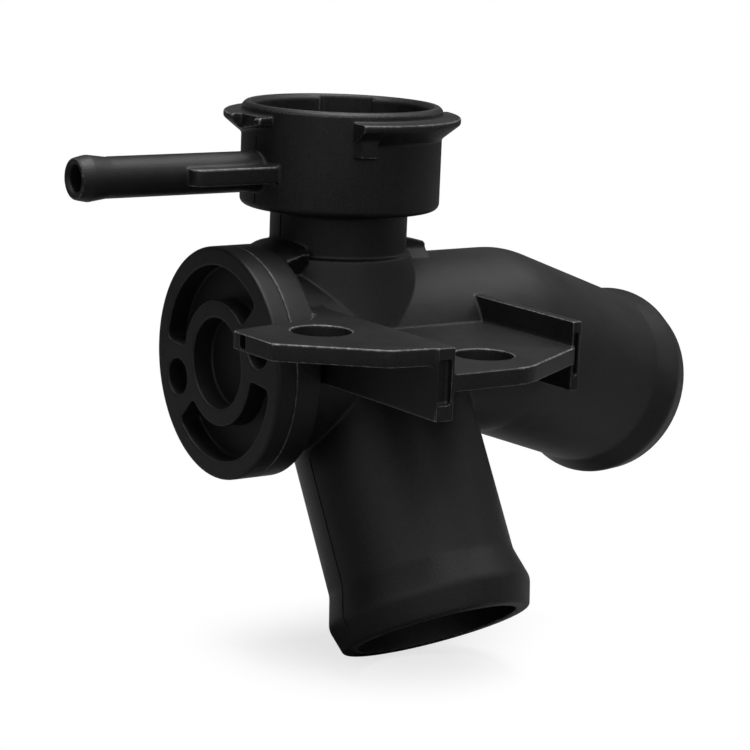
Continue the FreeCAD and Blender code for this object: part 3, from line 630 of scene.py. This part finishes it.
def wings(neck, wing):
    """Both cap wings with ramp and notch, and both stop tabs."""
    top = neck.rim_height - wing.drop
    foot = top - wing.root
    tab_foot = foot - wing.tab_reach
    root = neck.radius - neck.wall + neck.inner_bevel
    half = (wing.span - wing.ramp_from) / 2
    reach = wing.radius * math.tan(half)
    edge = -wing.radius - OVERRUN
    square = [(edge, edge), (-wing.end_face, edge), (-wing.end_face, 0), (edge, 0)]
    slope, leaves = math.tan(wing.tab_slant), -math.sqrt(neck.radius ** 2 - wing.tab_face ** 2)
    slanted = [(edge, edge), (-wing.tab_face - slope * (edge - leaves), edge),
               (-wing.tab_face + slope * leaves / 2, leaves / 2), (edge, leaves / 2)]
    pieces = []
    for side in (0.0, math.pi):
        start = wing.start + side
        segment = turned("wing", [(root, foot), (neck.radius, foot),
                                  (wing.radius, top - wing.edge, wing.edge_round),
                                  (wing.radius, top, wing.edge_round), (root, top)],
                         start=start - SPARE_ANGLE, span=wing.span + SPARE_ANGLE)
        ramp = prism("ramp", [(-reach, foot), (-reach, foot - OVERRUN), (reach, foot - OVERRUN),
                              (reach, foot + wing.ramp_rise)],
                     0.0, wing.radius + OVERRUN, turn("Z", start + wing.span - half) @ ACROSS_RUN)
        notch = turned("notch", [(wing.notch_radius, foot - OVERRUN), (wing.radius + OVERRUN, foot - OVERRUN),
                                 (wing.radius + OVERRUN, top + OVERRUN), (wing.notch_radius, top + OVERRUN)],
                       start=start + wing.notch_from, span=wing.notch_span)
        end = prism("end", square, foot - OVERRUN, top + OVERRUN, turn("Z", side))
        pieces.append(merged([segment, ramp, notch, end], "DIFFERENCE"))
        tab = turned("stop_tab", [(root, tab_foot), (wing.tab_radius, tab_foot), (wing.tab_radius, top),
                                  (root, top)],
                     start=start - wing.tab_lead - SPARE_ANGLE, span=wing.tab_span + SPARE_ANGLE)
        end = prism("end", slanted, tab_foot - OVERRUN, top + OVERRUN, turn("Z", side))
        pieces.append(merged([tab, end], "DIFFERENCE"))
    return pieces


def bracket_forms(run, sizes):
    """High and low plate and the two posts."""
    inner = -ROOT_SHARE * (run.radius - run.wall)
    reach, near, far = sizes.reach, sizes.post_near, sizes.post_far
    high = [(-sizes.tip_reach, -sizes.tip_back, sizes.tip_back_round), (-sizes.tip_reach, -sizes.tip_front),
            (-sizes.tip_corner_reach, sizes.tip_corner_depth - reach, sizes.tip_corner_round),
            (-near, -reach), (-near, inner), (-run.flange_rear, inner), (-run.flange_rear, -sizes.back_foot),
            (-sizes.back_corner_reach, -sizes.back_corner, sizes.back_corner_round),
            (-sizes.back_bend_reach, -sizes.back_bend)]
    left = -(near + sizes.post_near_width / 2)
    right = far - sizes.post_far_width / 2
    low = [(left, -reach), (sizes.low_corner, -reach, sizes.low_corner_round), (right, -sizes.post_far_reach),
           (right, inner), (left, inner)]
    pieces = [prism("high_plate", high, sizes.high_top - sizes.thickness, sizes.high_top),
              prism("low_plate", low, sizes.low_top - sizes.thickness, sizes.low_top)]
    for x0, x1, y in ((-near - sizes.post_near_width, -near, reach),
                      (far - sizes.post_far_width, far, sizes.post_far_reach)):
        pieces.append(prism("post", [(x0, -y), (x1, -y), (x1, inner), (x0, inner)],
                            -sizes.post_foot, sizes.high_top))
    return pieces


def bracket_cuts(sizes):
    """Bolt holes, the slot in the tip and the grooves in the posts' outer ends."""
    low = sizes.low_top - sizes.thickness
    cuts = [cylinder("bolt_hole", sizes.hole_radius, low - OVERRUN, sizes.high_top + OVERRUN, shift(x, y, 0))
            for x, y in ((sizes.near_x, sizes.near_y), (sizes.far_x, sizes.far_y))]
    outer, inner = -sizes.tip_reach - OVERRUN, sizes.slot_depth - sizes.tip_reach
    back = -sizes.tip_back - sizes.slot_inset
    front = back - sizes.slot_width
    cuts.append(prism("slot", [(outer, back), (outer, front), (inner, front), (inner, back)],
                      sizes.high_top - sizes.thickness + sizes.slot_skin, sizes.high_top - sizes.slot_skin))
    near, far = -sizes.post_near - sizes.post_near_width, sizes.post_far - sizes.post_far_width
    for x0, x1, y in ((near + sizes.groove_skin, -sizes.post_near - sizes.groove_skin_right, sizes.reach),
                      (far + sizes.groove_skin_far, sizes.post_far - sizes.groove_skin_far,
                       sizes.post_far_reach)):
        cuts.append(prism("groove", [(x0, -y - OVERRUN), (x1, -y - OVERRUN),
                                     (x1, sizes.groove_depth - y), (x0, sizes.groove_depth - y)],
                          sizes.groove_low, sizes.high_top - sizes.groove_top))
    return cuts


def run_forms(run, branch):
    """Main run with its flange, the elbow, the large outlet and the lower branch."""
    front = run.flange_rear + run.flange_thickness
    return [
        turned("run", [(0, -front), (run.flange_radius, -front, run.joint_round),
                       (run.flange_radius, -run.flange_rear, run.edge_round),
                       (run.radius, -run.flange_rear, run.foot_round),
                       (run.radius, run.elbow), (0, run.elbow)], ALONG_RUN),
        ball("elbow", run.radius - BALL_SPARE, shift(run.elbow, 0, 0)),
        stub("outlet", run.radius, run.outlet_length, outlet_place()),
        stub("branch", branch.radius, branch.length, branch_place()),
    ]


def neck_form(neck):
    """Collar with its flare, throat, barrel and bevelled rim."""
    return turned("neck", [(0, neck.flare_foot), (neck.flare_radius, neck.flare_foot),
                           (neck.collar_radius, neck.collar_height, neck.collar_round),
                           (neck.throat_radius, neck.collar_height),
                           (neck.throat_radius, neck.underside, neck.corner_round),
                           (neck.radius, neck.underside, neck.corner_round),
                           (neck.radius, neck.rim_height - neck.rim_bevel),
                           (neck.radius - neck.rim_bevel, neck.rim_height), (0, neck.rim_height)])


def nipple_forms(neck, nipple):
    """Overflow nipple with its beaded nose, and the fins on both sides of its root."""
    inside = neck.radius - neck.wall
    start = inside + neck.wall / 4
    fin_root = -math.sqrt((inside + neck.wall / 2) ** 2 - nipple.fin_half_width ** 2)
    fin_half = nipple.fin_thickness / 2
    return [
        turned("nipple", [(0, start), (nipple.radius, start),
                          (nipple.radius, nipple.tip - nipple.bead_run, nipple.radius),
                          (nipple.radius + nipple.bead, nipple.tip - nipple.nose, nipple.nose / 2),
                          (nipple.radius, nipple.tip, nipple.bead), (0, nipple.tip)],
               nipple_place(nipple), steps=COARSE),
        prism("fin", [(-nipple.fin_reach, -nipple.fin_half_width, nipple.fin_corner),
                      (fin_root, -nipple.fin_half_width), (fin_root, nipple.fin_half_width),
                      (-nipple.fin_reach, nipple.fin_half_width, nipple.fin_corner)],
              nipple.height - fin_half, nipple.height + fin_half),
    ]


def web_forms(run, neck, web):
    """Gusset from the throat to the flange, and the web with its foot towards the elbow."""
    root = neck.throat_radius - neck.throat_wall / 2
    low = run.radius - run.wall / 2
    crest = run.flange_radius + web.gusset_rise
    rim = run.flange_radius - run.edge_round
    inside_flange = -(run.flange_rear + run.flange_thickness / 4)
    half = web.thickness / 2
    foot_edge = math.sqrt(run.radius ** 2 - web.foot ** 2)
    foot_top = run.radius + web.foot_rise
    return [
        turned("gusset", [(low, inside_flange), (low, -root), (crest, -root), (crest, -neck.throat_radius),
                          (rim, -run.flange_rear), (rim, inside_flange)],
               ALONG_RUN, start=math.pi - web.gusset_angle / 2, span=web.gusset_angle),
        prism("web", [(root, low), (web.reach, low), (web.reach, web.height - web.drop, web.nose),
                      (root, web.height)], -half, half, turn("X", QUARTER)),
        prism("web_foot", [(-web.foot, low), (web.foot, low), (web.foot, foot_edge), (half, foot_top),
                           (-half, foot_top), (-web.foot, foot_edge)], root, web.reach, ACROSS_RUN),
    ]


def run_passages(run, branch, plug):
    """Bores of the main run, the elbow, the outlet and the branch, with the spigot's pocket."""
    front = run.flange_rear + run.flange_thickness
    bore = run.radius - run.wall
    pocket, floor = plug.spigot_radius + plug.clearance, plug.spigot + plug.clearance - front
    return [
        turned("run_bore", [(0, -front - OVERRUN), (pocket, -front - OVERRUN), (pocket, floor), (bore, floor),
                            (bore, run.elbow), (0, run.elbow)], ALONG_RUN),
        ball("elbow_bore", bore - BALL_SPARE, shift(run.elbow, 0, 0)),
        cylinder("outlet_bore", bore, 0, run.outlet_length + OVERRUN, outlet_place(), FINE),
        cylinder("branch_bore", branch.radius - branch.wall, 0, branch.length + OVERRUN, branch_place(),
                 FINE),
    ]


def neck_passages(neck, wing, nipple):
    """Inside of the neck with the cap's seat, the reliefs in its rim and the nipple's passage."""
    inside, throat = neck.radius - neck.wall, neck.throat_radius - neck.throat_wall
    floor = neck.underside + neck.floor
    seat = floor + neck.seat_height
    mouth, high = neck.rim_height, neck.rim_height + OVERRUN
    low, deep = neck.rim_height - wing.relief_reach, inside + wing.relief_depth
    return [
        turned("neck_bore", [(0, 0), (throat, 0), (throat, seat, neck.seat_slope), (neck.seat_radius, seat),
                             (neck.seat_radius + neck.seat_slope, floor), (inside, floor, neck.foot_round),
                             (inside, mouth - neck.inner_bevel), (inside + neck.inner_bevel, mouth),
                             (inside + neck.inner_bevel, high), (0, high)]),
        *[turned("relief", [(inside - OVERRUN, low), (deep, low), (deep, high), (inside - OVERRUN, high)],
                 start=wing.relief_start + side, span=wing.relief_span) for side in (0.0, math.pi)],
        turned("nipple_bore", [(0, inside - OVERRUN), (nipple.bore, inside - OVERRUN),
                               (nipple.bore, nipple.tip - nipple.mouth_depth), (nipple.mouth, nipple.tip),
                               (nipple.mouth, nipple.tip + OVERRUN), (0, nipple.tip + OVERRUN)],
               nipple_place(nipple), steps=COARSE),
    ]


def body_solid():
    """The whole moulding: every outer form joined, then every passage cut from it."""
    run, branch, neck, wing = read("run"), read("branch"), read("neck"), read("wing")
    nipple, bracket = read("nipple"), read("bracket")
    solid = merged([*run_forms(run, branch), neck_form(neck), *wings(neck, wing), *nipple_forms(neck, nipple),
                    *web_forms(run, neck, read("web")), *bracket_forms(run, bracket)])
    return merged([solid, *run_passages(run, branch, read("plug")), *neck_passages(neck, wing, nipple),
                   *bracket_cuts(bracket)], "DIFFERENCE")


def moulding_lines():
    """Fine ridges where the mould's halves met: on the nipple, the barrel, the throat and the branch. The
    material paints them near black, as painted shade along the ridge.
    """
    neck, nipple, branch, bead, line = (read(name) for name in ("neck", "nipple", "branch", "bead", "line"))
    sunk = line.radius / 2
    crest = branch.length - bead.taper
    place = branch_place()
    along = rounded([(branch.radius, line.branch_from), (branch.radius, crest - bead.flare, bead.foot_round),
                     (branch.radius + bead.height, crest, bead.crest_round),
                     (branch.radius + bead.lip, branch.length - bead.mouth_round)])
    barrel, throat = sunk - neck.radius, sunk - neck.throat_radius
    below, above = nipple.height - nipple.radius, nipple.height + nipple.radius
    back = nipple.bead_run - nipple.tip
    lines = [
        [place @ Vector((sunk - p.x, 0, p.y)) for p in along],
        [(barrel, 0, neck.underside + neck.corner_round), (barrel, 0, below)],
        [(barrel, 0, above), (barrel, 0, neck.rim_height - line.barrel_top)],
        [(throat, 0, neck.collar_height + line.throat_from), (throat, 0, neck.underside - neck.corner_round)],
        [(-neck.radius, 0, above - sunk), (back, 0, above - sunk)],
        [(-neck.radius, 0, below + sunk), (back, 0, below + sunk)],
    ]
    made = []
    for points in lines:
        mesh = bpy.data.meshes.new("moulding_line")
        mesh.from_pydata([tuple(p) for p in points], [(k, k + 1) for k in range(len(points) - 1)], [])
        ridge = with_nodes(linked(mesh, "moulding_line"), TREES["line"], "moulding_line", Radius=line.radius)
        ridge = cleaned(ridge, Matrix())
        # An edge of -1 makes the material paint this ridge near black and matt: painted shade
        values = ridge.data.attributes.new("edge", "FLOAT", "POINT").data
        values.foreach_set("value", [-1.0] * len(values))
        made.append(ridge)
    return made


def joined(base, others):
    """One object of a finished skin and the small forms that lie on it."""
    with bpy.context.temp_override(active_object=base, object=base, selected_objects=[base, *others],
                                   selected_editable_objects=[base, *others]):
        bpy.ops.object.join()
    return base


def plug_solid():
    """Round plug, recessed between rim and hub, with two spokes that carry a driving hole each."""
    run, plug = read("run"), read("plug")
    front = run.flange_rear + run.flange_thickness
    place = shift(-front, 0, 0) @ turn("Y", -QUARTER) @ turn("Z", plug.tilt - QUARTER)
    floor, high = plug.ring - plug.recess, plug.ring + OVERRUN
    disc = turned("disc", [(0, -plug.spigot), (plug.spigot_radius, -plug.spigot, plug.edge_round),
                           (plug.spigot_radius, 0), (run.flange_radius, 0, run.joint_round),
                           (run.flange_radius, plug.ring, plug.edge_round), (0, plug.ring)], place)
    cuts = [cylinder("hub_pocket", plug.hub_bore, floor, high, place, FINE)]
    for side in (0.0, math.pi):
        spoke = place @ shift(plug.hole_offset * math.cos(side), 0, 0)
        cuts.append(cylinder("spoke_hole", plug.hole_radius, floor, high, spoke))
        cuts.append(kidney(plug, place @ turn("Z", side), floor, high))
    return merged([disc, *cuts], "DIFFERENCE")


def kidney(plug, place, low, high):
    """Curved recess beside the hub, drawn as one outline with rounded corners."""
    first, last = plug.spread / 2, math.pi - plug.spread / 2
    corner = plug.corner

    def spot(radius, at):
        return Vector((radius * math.cos(at), radius * math.sin(at)))

    def blend(radius, sign, at, out):
        """Corner between a circle of the given radius and the radial end at an angle."""
        middle = radius + out * corner
        lean = math.asin(corner / middle) * sign
        centre = spot(middle, at + lean)
        on_circle = spot(radius, at + lean) - centre
        on_end = spot(middle * math.cos(lean), at) - centre
        return lean, swung(centre, on_circle, sweep_between(on_circle, on_end), CORNER_STEPS)

    def arc(radius, start, end):
        return swung(Vector((0, 0)), spot(radius, start), end - start, RECESS_STEPS)

    lean_in, inner_first = blend(plug.hub_radius, 1, first, 1)
    _, inner_last = blend(plug.hub_radius, -1, last, 1)
    lean_out, outer_first = blend(plug.recess_radius, 1, first, -1)
    _, outer_last = blend(plug.recess_radius, -1, last, -1)
    outline = [*arc(plug.recess_radius, first + lean_out, last - lean_out), *outer_last,
               *reversed(inner_last), *arc(plug.hub_radius, last - lean_in, first + lean_in), *inner_first,
               *reversed(outer_first)]
    return prism("kidney", [tuple(p) for p in outline], low, high, place)


def points_of(mesh, values="vertices", key="co"):
    """All points, or all normals, of a mesh as rows of three."""
    rows = np.empty(len(mesh.vertices) * 3)
    getattr(mesh, values).foreach_get(key, rows)
    return rows.reshape(-1, 3)


def skinned(obj, name, cell):
    """Even, softly rounded skin over a sharp solid, thinned to the allowed number of triangles.
    The thinned mesh takes its shading from the full one. The attribute "edge" says how much the
    softening took off an edge, or filled a corner where it is negative; moulding lines carry -1."""
    skin = read("skin")
    remesh = obj.modifiers.new("Skin", "REMESH")
    remesh.mode = "VOXEL"
    remesh.voxel_size = cell
    remesh.use_smooth_shade = True
    evaluated(obj, name)
    sharp = points_of(obj.data)
    soften = obj.modifiers.new("Soften", "SMOOTH")
    soften.factor = 0.5
    soften.iterations = skin.softening
    evaluated(obj, name)
    outwards = points_of(obj.data, "vertex_normals", "vector")
    taken = np.einsum("ij,ij->i", sharp - points_of(obj.data), outwards)
    obj.data.attributes.new("edge", "FLOAT", "POINT").data.foreach_set("value", taken / cell)
    full = linked(obj.data.copy(), name + "_full")
    count = sum(len(face.vertices) - 2 for face in obj.data.polygons)
    if count > skin.triangles:
        thin = obj.modifiers.new("Thin", "DECIMATE")
        thin.ratio = skin.triangles / count
    normals = obj.modifiers.new("Shading", "DATA_TRANSFER")
    normals.object = full
    normals.use_loop_data = True
    normals.data_types_loops = {"CUSTOM_NORMAL"}
    normals.loop_mapping = "POLYINTERP_NEAREST"
    evaluated(obj, name)
    bpy.data.objects.remove(full)
    return obj


def placed(obj, name, material):
    """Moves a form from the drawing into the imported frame, in metres."""
    obj.data.transform(Matrix.Scale(MILLIMETRE, 4) @ Matrix.Translation(home()))
    obj.name = obj.data.name = name
    obj.data.materials.clear()
    obj.data.materials.append(material)
    return obj


# Materials

class Value:
    """A shader socket that takes part in Python expressions."""

    def __init__(self, shader, socket):
        self.shader, self.socket = shader, socket

    def _maths(self, operation, *values):
        node = self.shader.add("ShaderNodeMath", {"operation": operation})
        for socket, value in zip(node.inputs, values):
            self.shader.feed(socket, value)
        return Value(self.shader, node.outputs[0])

    def __add__(self, other):
        return self._maths("ADD", self, other)

    def __sub__(self, other):
        return self._maths("SUBTRACT", self, other)

    def __rsub__(self, other):
        return self._maths("SUBTRACT", other, self)

    def __mul__(self, other):
        return self._maths("MULTIPLY", self, other)

    __radd__, __rmul__ = __add__, __mul__

    def clamped(self):
        return self._maths("MINIMUM", self._maths("MAXIMUM", self, 0.0), 1.0)


class Shader:
    """Small writer for a node material."""

    def __init__(self, name, owner=None):
        self.owner = owner or bpy.data.materials.new(name)
        self.owner.use_nodes = True
        self.nodes, self.links = self.owner.node_tree.nodes, self.owner.node_tree.links
        self.nodes.clear()
        if not owner:
            self.object = self.add("ShaderNodeTexCoord").outputs["Object"]

    def add(self, kind, settings=None, **sockets):
        node = self.nodes.new(kind)
        for key, value in (settings or {}).items():
            setattr(node, key, value)
        for key, value in sockets.items():
            self.feed(node.inputs[key.replace("_", " ")], value)
        return node

    def feed(self, socket, value):
        if isinstance(value, Value):
            value = value.socket
        if isinstance(value, bpy.types.NodeSocket):
            self.links.new(value, socket)
        else:
            socket.default_value = value

    def noise(self, size, detail=2.0, roughness=0.5):
        """Noise whose blobs are about size millimetres across, from 0 to 1."""
        node = self.add("ShaderNodeTexNoise", Vector=self.object, Scale=1.0 / (size * MILLIMETRE),
                        Detail=detail, Roughness=roughness)
        return Value(self, node.outputs["Fac"])

    def attribute(self, name):
        return Value(self, self.add("ShaderNodeAttribute", {"attribute_name": name}).outputs["Fac"])

    def measure(self, operation, first, second):
        """Number that Vector Math makes of two vectors."""
        node = self.add("ShaderNodeVectorMath", {"operation": operation})
        self.feed(node.inputs[0], first)
        self.feed(node.inputs[1], second)
        return Value(self, node.outputs["Value"])

    def smooth(self, value, low, high):
        """Value led softly from 0 at low to 1 at high."""
        node = self.add("ShaderNodeMapRange", {"interpolation_type": "SMOOTHSTEP"}, Value=value,
                        From_Min=low, From_Max=high)
        return Value(self, node.outputs["Result"])

    def seen(self):
        """1 for what the camera sees, straight or through glass, and 0 for all other rays."""
        rays = self.add("ShaderNodeLightPath")
        straight = Value(self, rays.outputs["Is Camera Ray"])
        through = Value(self, rays.outputs["Is Transmission Ray"])
        return (straight + through).clamped()

    def mix(self, factor, first, second):
        node = self.add("ShaderNodeMix", {"data_type": "RGBA"})
        self.feed(node.inputs["Factor"], factor)
        self.feed(node.inputs[6], first)
        self.feed(node.inputs[7], second)
        return node.outputs[2]

    def finish(self, surface, kind="ShaderNodeOutputMaterial"):
        self.links.new(surface, self.add(kind).inputs["Surface"])
        return self.owner


def opaque(colour_value, gain=1.0):
    return (*[min(1.0, c * gain) for c in colour_value], 1.0)


def moulded_plastic(name, tint, gloss, level, grain, wear_and_highlight):
    """Black polyamide as moulded: faint flow clouds, fine grain, scuffed edges that also carry a painted
    highlight, moulding ridges painted near black as shade, and uneven gloss.
    """
    s = Shader(name)
    clouds = s.noise(9.0, detail=3.0)
    flow = s.noise(2.2, detail=4.0, roughness=0.6)
    fine = s.noise(grain, detail=3.0, roughness=0.6)
    speck = (s.noise(0.2, detail=1.0) - 0.69).clamped() * 9.0
    edge = s.attribute("edge")
    chipped = ((s.noise(0.7, detail=3.0, roughness=0.7) - 0.4) * 3.5).clamped()
    # Painted highlight and wear: convex edges, where the softening took most off, are painted pale, partly as
    # scuffs and partly as the bright highlight a rounded edge catches
    worn_and_lit = (edge * 18.0 - 1.0).clamped() * (0.25 + chipped * 0.75)
    # Painted shade: where edge is below -0.4, as on the moulding ridges that carry -1, the colour goes near
    # black and the skin matt, standing in for the shadow line beside a ridge
    line = ((0.0 - edge - 0.4) * 2.0).clamped()
    base = s.mix(((fine - 0.5) * 2.5 + clouds).clamped(), opaque(tint, 0.4), opaque(tint, 1.6))
    base = s.mix((speck * 0.5).clamped(), base, opaque(tint, 6.0))
    # Pale edge colour: real scuffing and a painted highlight together
    base = s.mix((worn_and_lit * wear_and_highlight).clamped(), base, opaque(tint, 30.0))
    # Painted shade on the moulding ridges
    base = s.mix(line, base, opaque(tint, 0.1))
    rough = gloss - 0.07 + clouds * 0.06 + flow * 0.08 + line * 0.5
    bump = s.add("ShaderNodeBump", Strength=0.5, Distance=0.0001, Height=fine + flow * 0.5)
    principled = s.add("ShaderNodeBsdfPrincipled", Base_Color=base, Roughness=rough, Normal=bump.outputs[0])
    s.feed(principled.inputs["Specular IOR Level"], level)
    s.feed(principled.inputs["IOR"], 1.5)
    return s.finish(principled.outputs[0])


# Operators

TREES = {}
MATERIALS = {}


def material(name):
    """The finish of one piece, made when it is first asked for."""
    if name not in MATERIALS:
        finish = read("finish")
        if name == "body_plastic":
            MATERIALS[name] = moulded_plastic(name, finish.body, finish.gloss, finish.level, finish.grain,
                                              finish.wear_and_highlight)
        else:
            MATERIALS[name] = moulded_plastic(name, finish.plug, finish.plug_gloss, finish.level,
                                              finish.plug_grain, finish.plug_wear_and_highlight)
    return MATERIALS[name]


class PIPE_OT_body(bpy.types.Operator):
    """Build the moulded body: run, elbow, outlet, branch, neck, nipple and bracket."""
    bl_idname = "coolant_pipe.body"
    bl_label = "Moulded body"

    def execute(self, context):
        solid = joined(skinned(body_solid(), "pipe_skin", read("skin").body_cell), moulding_lines())
        body = placed(solid, "pipe_skin", material("body_plastic"))
        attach(body, "root")
        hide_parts("pipe_body")
        return {"FINISHED"}


class PIPE_OT_plug(bpy.types.Operator):
    """Build the round plug that closes the flange."""
    bl_idname = "coolant_pipe.plug"
    bl_label = "End plug"

    def execute(self, context):
        solid = skinned(plug_solid(), "plug_skin", read("skin").plug_cell)
        plug = placed(solid, "plug_skin", material("plug_plastic"))
        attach(plug, "root")
        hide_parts("end_plug")
        return {"FINISHED"}


def camera_axes(stage):
    """The camera's right, up and backward directions in the drawing."""
    back = Vector((-math.sin(stage.azimuth) * math.cos(stage.elevation),
                   -math.cos(stage.azimuth) * math.cos(stage.elevation), math.sin(stage.elevation)))
    right = Vector((math.cos(stage.azimuth), -math.sin(stage.azimuth), 0.0))
    up = back.cross(right)
    c, s = math.cos(stage.roll), math.sin(stage.roll)
    return right * c + up * s, up * c - right * s, back


def area_lamp(name, centre, target, size, power):
    lamp = bpy.data.lights.new(name, "AREA")
    lamp.shape = "RECTANGLE"
    lamp.size, lamp.size_y = size
    lamp.energy = power
    obj = linked(lamp, name)
    obj.location = centre
    obj.rotation_euler = (Vector(target) - Vector(centre)).to_track_quat("-Z", "Y").to_euler()
    return obj


# Lamps by name, place from the middle of the CAD box in metres, side in metres and power in watts
LAMPS = (
    ("overhead_lamp", (0.0, 0.0, 0.6), 0.4, 5.72),
    ("overhead_right_lamp", (0.4, -0.05, 0.5), 0.3, 0.79),
    ("right_lamp", (0.5, -0.35, 0.3), 0.3, 0.37),
    ("overhead_front_lamp", (-0.1, -0.3, 0.5), 0.3, 0.31),
    ("left_lamp", (-0.5, -0.3, 0.3), 0.3, 0.20),
    ("far_left_lamp", (-0.6, 0.1, 0.15), 0.3, 0.11),
)


class PIPE_OT_stage(bpy.types.Operator):
    """Set up the floor, the light and the camera of the photograph."""
    bl_idname = "coolant_pipe.stage"
    bl_label = "Studio"

    def execute(self, context):
        stage = read("stage")
        scene = context.scene
        scene.view_settings.view_transform = "Standard"
        right, up, back = camera_axes(stage)
        spot = right * stage.pan_right + up * stage.pan_up + back * stage.distance + home()
        camera = bpy.data.cameras.new("camera")
        camera.sensor_width = 36.0
        camera.lens = stage.focal_pixels * camera.sensor_width / IMAGE_WIDTH
        camera.clip_end = 20.0
        obj = linked(camera, "camera")
        turned_to = Matrix((right, up, back)).transposed().to_4x4()
        obj.matrix_world = Matrix.Translation(spot * MILLIMETRE) @ turned_to
        scene.camera = obj
        self.floor(stage)
        self.sky(scene, stage)
        middle = (CAD_BOX[0] + CAD_BOX[1]) / 2
        for name, from_middle, size, power in LAMPS:
            area_lamp(name, middle + Vector(from_middle), middle, (size, size), power)
        return {"FINISHED"}

    def floor(self, stage):
        """Grey floor that the camera sees as white, except where the object's shadow falls."""
        low = CAD_BOX[0].z
        half = 1.5
        mesh = bpy.data.meshes.new("floor")
        mesh.from_pydata([(-half, -half, low), (half, -half, low), (half, half, low), (-half, half, low)], [],
                         [(0, 1, 2, 3)])
        floor = linked(mesh, "floor")
        s = Shader("floor")
        middle = (stage.shadow_x * MILLIMETRE, stage.shadow_y * MILLIMETRE, low)
        far = s.smooth(s.measure("DISTANCE", s.object, middle), stage.shadow_core * MILLIMETRE,
                       stage.shadow_reach * MILLIMETRE)
        lit = s.add("ShaderNodeBsdfDiffuse", Color=opaque(stage.floor))
        white = s.add("ShaderNodeEmission", Strength=1.0)
        lift = s.add("ShaderNodeEmission", Strength=stage.shadow_lift)
        near = s.add("ShaderNodeAddShader")
        s.links.new(lit.outputs[0], near.inputs[0])
        s.links.new(lift.outputs[0], near.inputs[1])
        shown = s.add("ShaderNodeMixShader", Fac=far)
        s.links.new(near.outputs[0], shown.inputs[1])
        s.links.new(white.outputs[0], shown.inputs[2])
        plain = s.add("ShaderNodeMixShader", Fac=s.seen())
        s.links.new(lit.outputs[0], plain.inputs[1])
        s.links.new(shown.outputs[0], plain.inputs[2])
        mesh.materials.append(s.finish(plain.outputs[0]))

    def sky(self, scene, stage):
        """Faint even light for the object. The camera sees plain white, and the object reflects a
        soft tent: bright above and in front, dim at the right and at the back."""
        world = bpy.data.worlds.new("studio")
        scene.world = world
        s = Shader("studio", world)
        direction = s.add("ShaderNodeTexCoord").outputs["Generated"]
        sin, cos = math.sin(stage.azimuth), math.cos(stage.azimuth)
        glossy = Value(s, s.add("ShaderNodeLightPath").outputs["Is Glossy Ray"])
        seen = s.seen()

        def lobe(axis, low, high):
            """Share from 0 to 1 that grows as a direction nears an axis."""
            return s.smooth(s.measure("DOT_PRODUCT", direction, Vector(axis).normalized()), low, high)

        tent = (lobe((0, 0, 1), 0.6, 1.0) * stage.tent
                + lobe((-sin, -cos, 0.8), 0.3, 0.9) * stage.tent
                + lobe((cos, -sin, 0.8), 0.3, 0.9) * stage.side_tent
                + lobe((sin, cos, 0), 0.0, 0.8) * stage.backdrop)
        strength = seen + (1.0 - seen) * (glossy * tent + (1.0 - glossy) * stage.sky)
        background = s.add("ShaderNodeBackground", Color=(1, 1, 1, 1), Strength=strength)
        s.finish(background.outputs[0], "ShaderNodeOutputWorld")


OPERATORS = (PIPE_OT_body, PIPE_OT_plug, PIPE_OT_stage)


class PIPE_PT_panel(bpy.types.Panel):
    """Buttons that build the coolant pipe piece by piece."""
    bl_idname = "PIPE_PT_panel"
    bl_label = "Coolant pipe"
    bl_space_type = "VIEW_3D"
    bl_region_type = "UI"
    bl_category = "Coolant pipe"

    def draw(self, context):
        column = self.layout.column()
        for operator in OPERATORS:
            column.operator(operator.bl_idname)


CLASSES = (RunSizes, BeadSizes, BranchSizes, NeckSizes, WingSizes, NippleSizes, WebSizes, BracketSizes,
           PlugSizes, LineSizes, SkinSettings, FinishSettings, StageSettings, CoolantPipeSettings,
           *OPERATORS, PIPE_PT_panel)


def register():
    for cls in CLASSES:
        bpy.utils.register_class(cls)
    bpy.types.Scene.coolant_pipe = PointerProperty(type=CoolantPipeSettings)


def unregister():
    del bpy.types.Scene.coolant_pipe
    for cls in reversed(CLASSES):
        bpy.utils.unregister_class(cls)


def main():
    register()
    TREES.update(turned=turned_tree(), line=line_tree())
    bpy.ops.coolant_pipe.body()
    bpy.ops.coolant_pipe.plug()
    bpy.ops.coolant_pipe.stage()


if __name__ == "__main__":
    main()
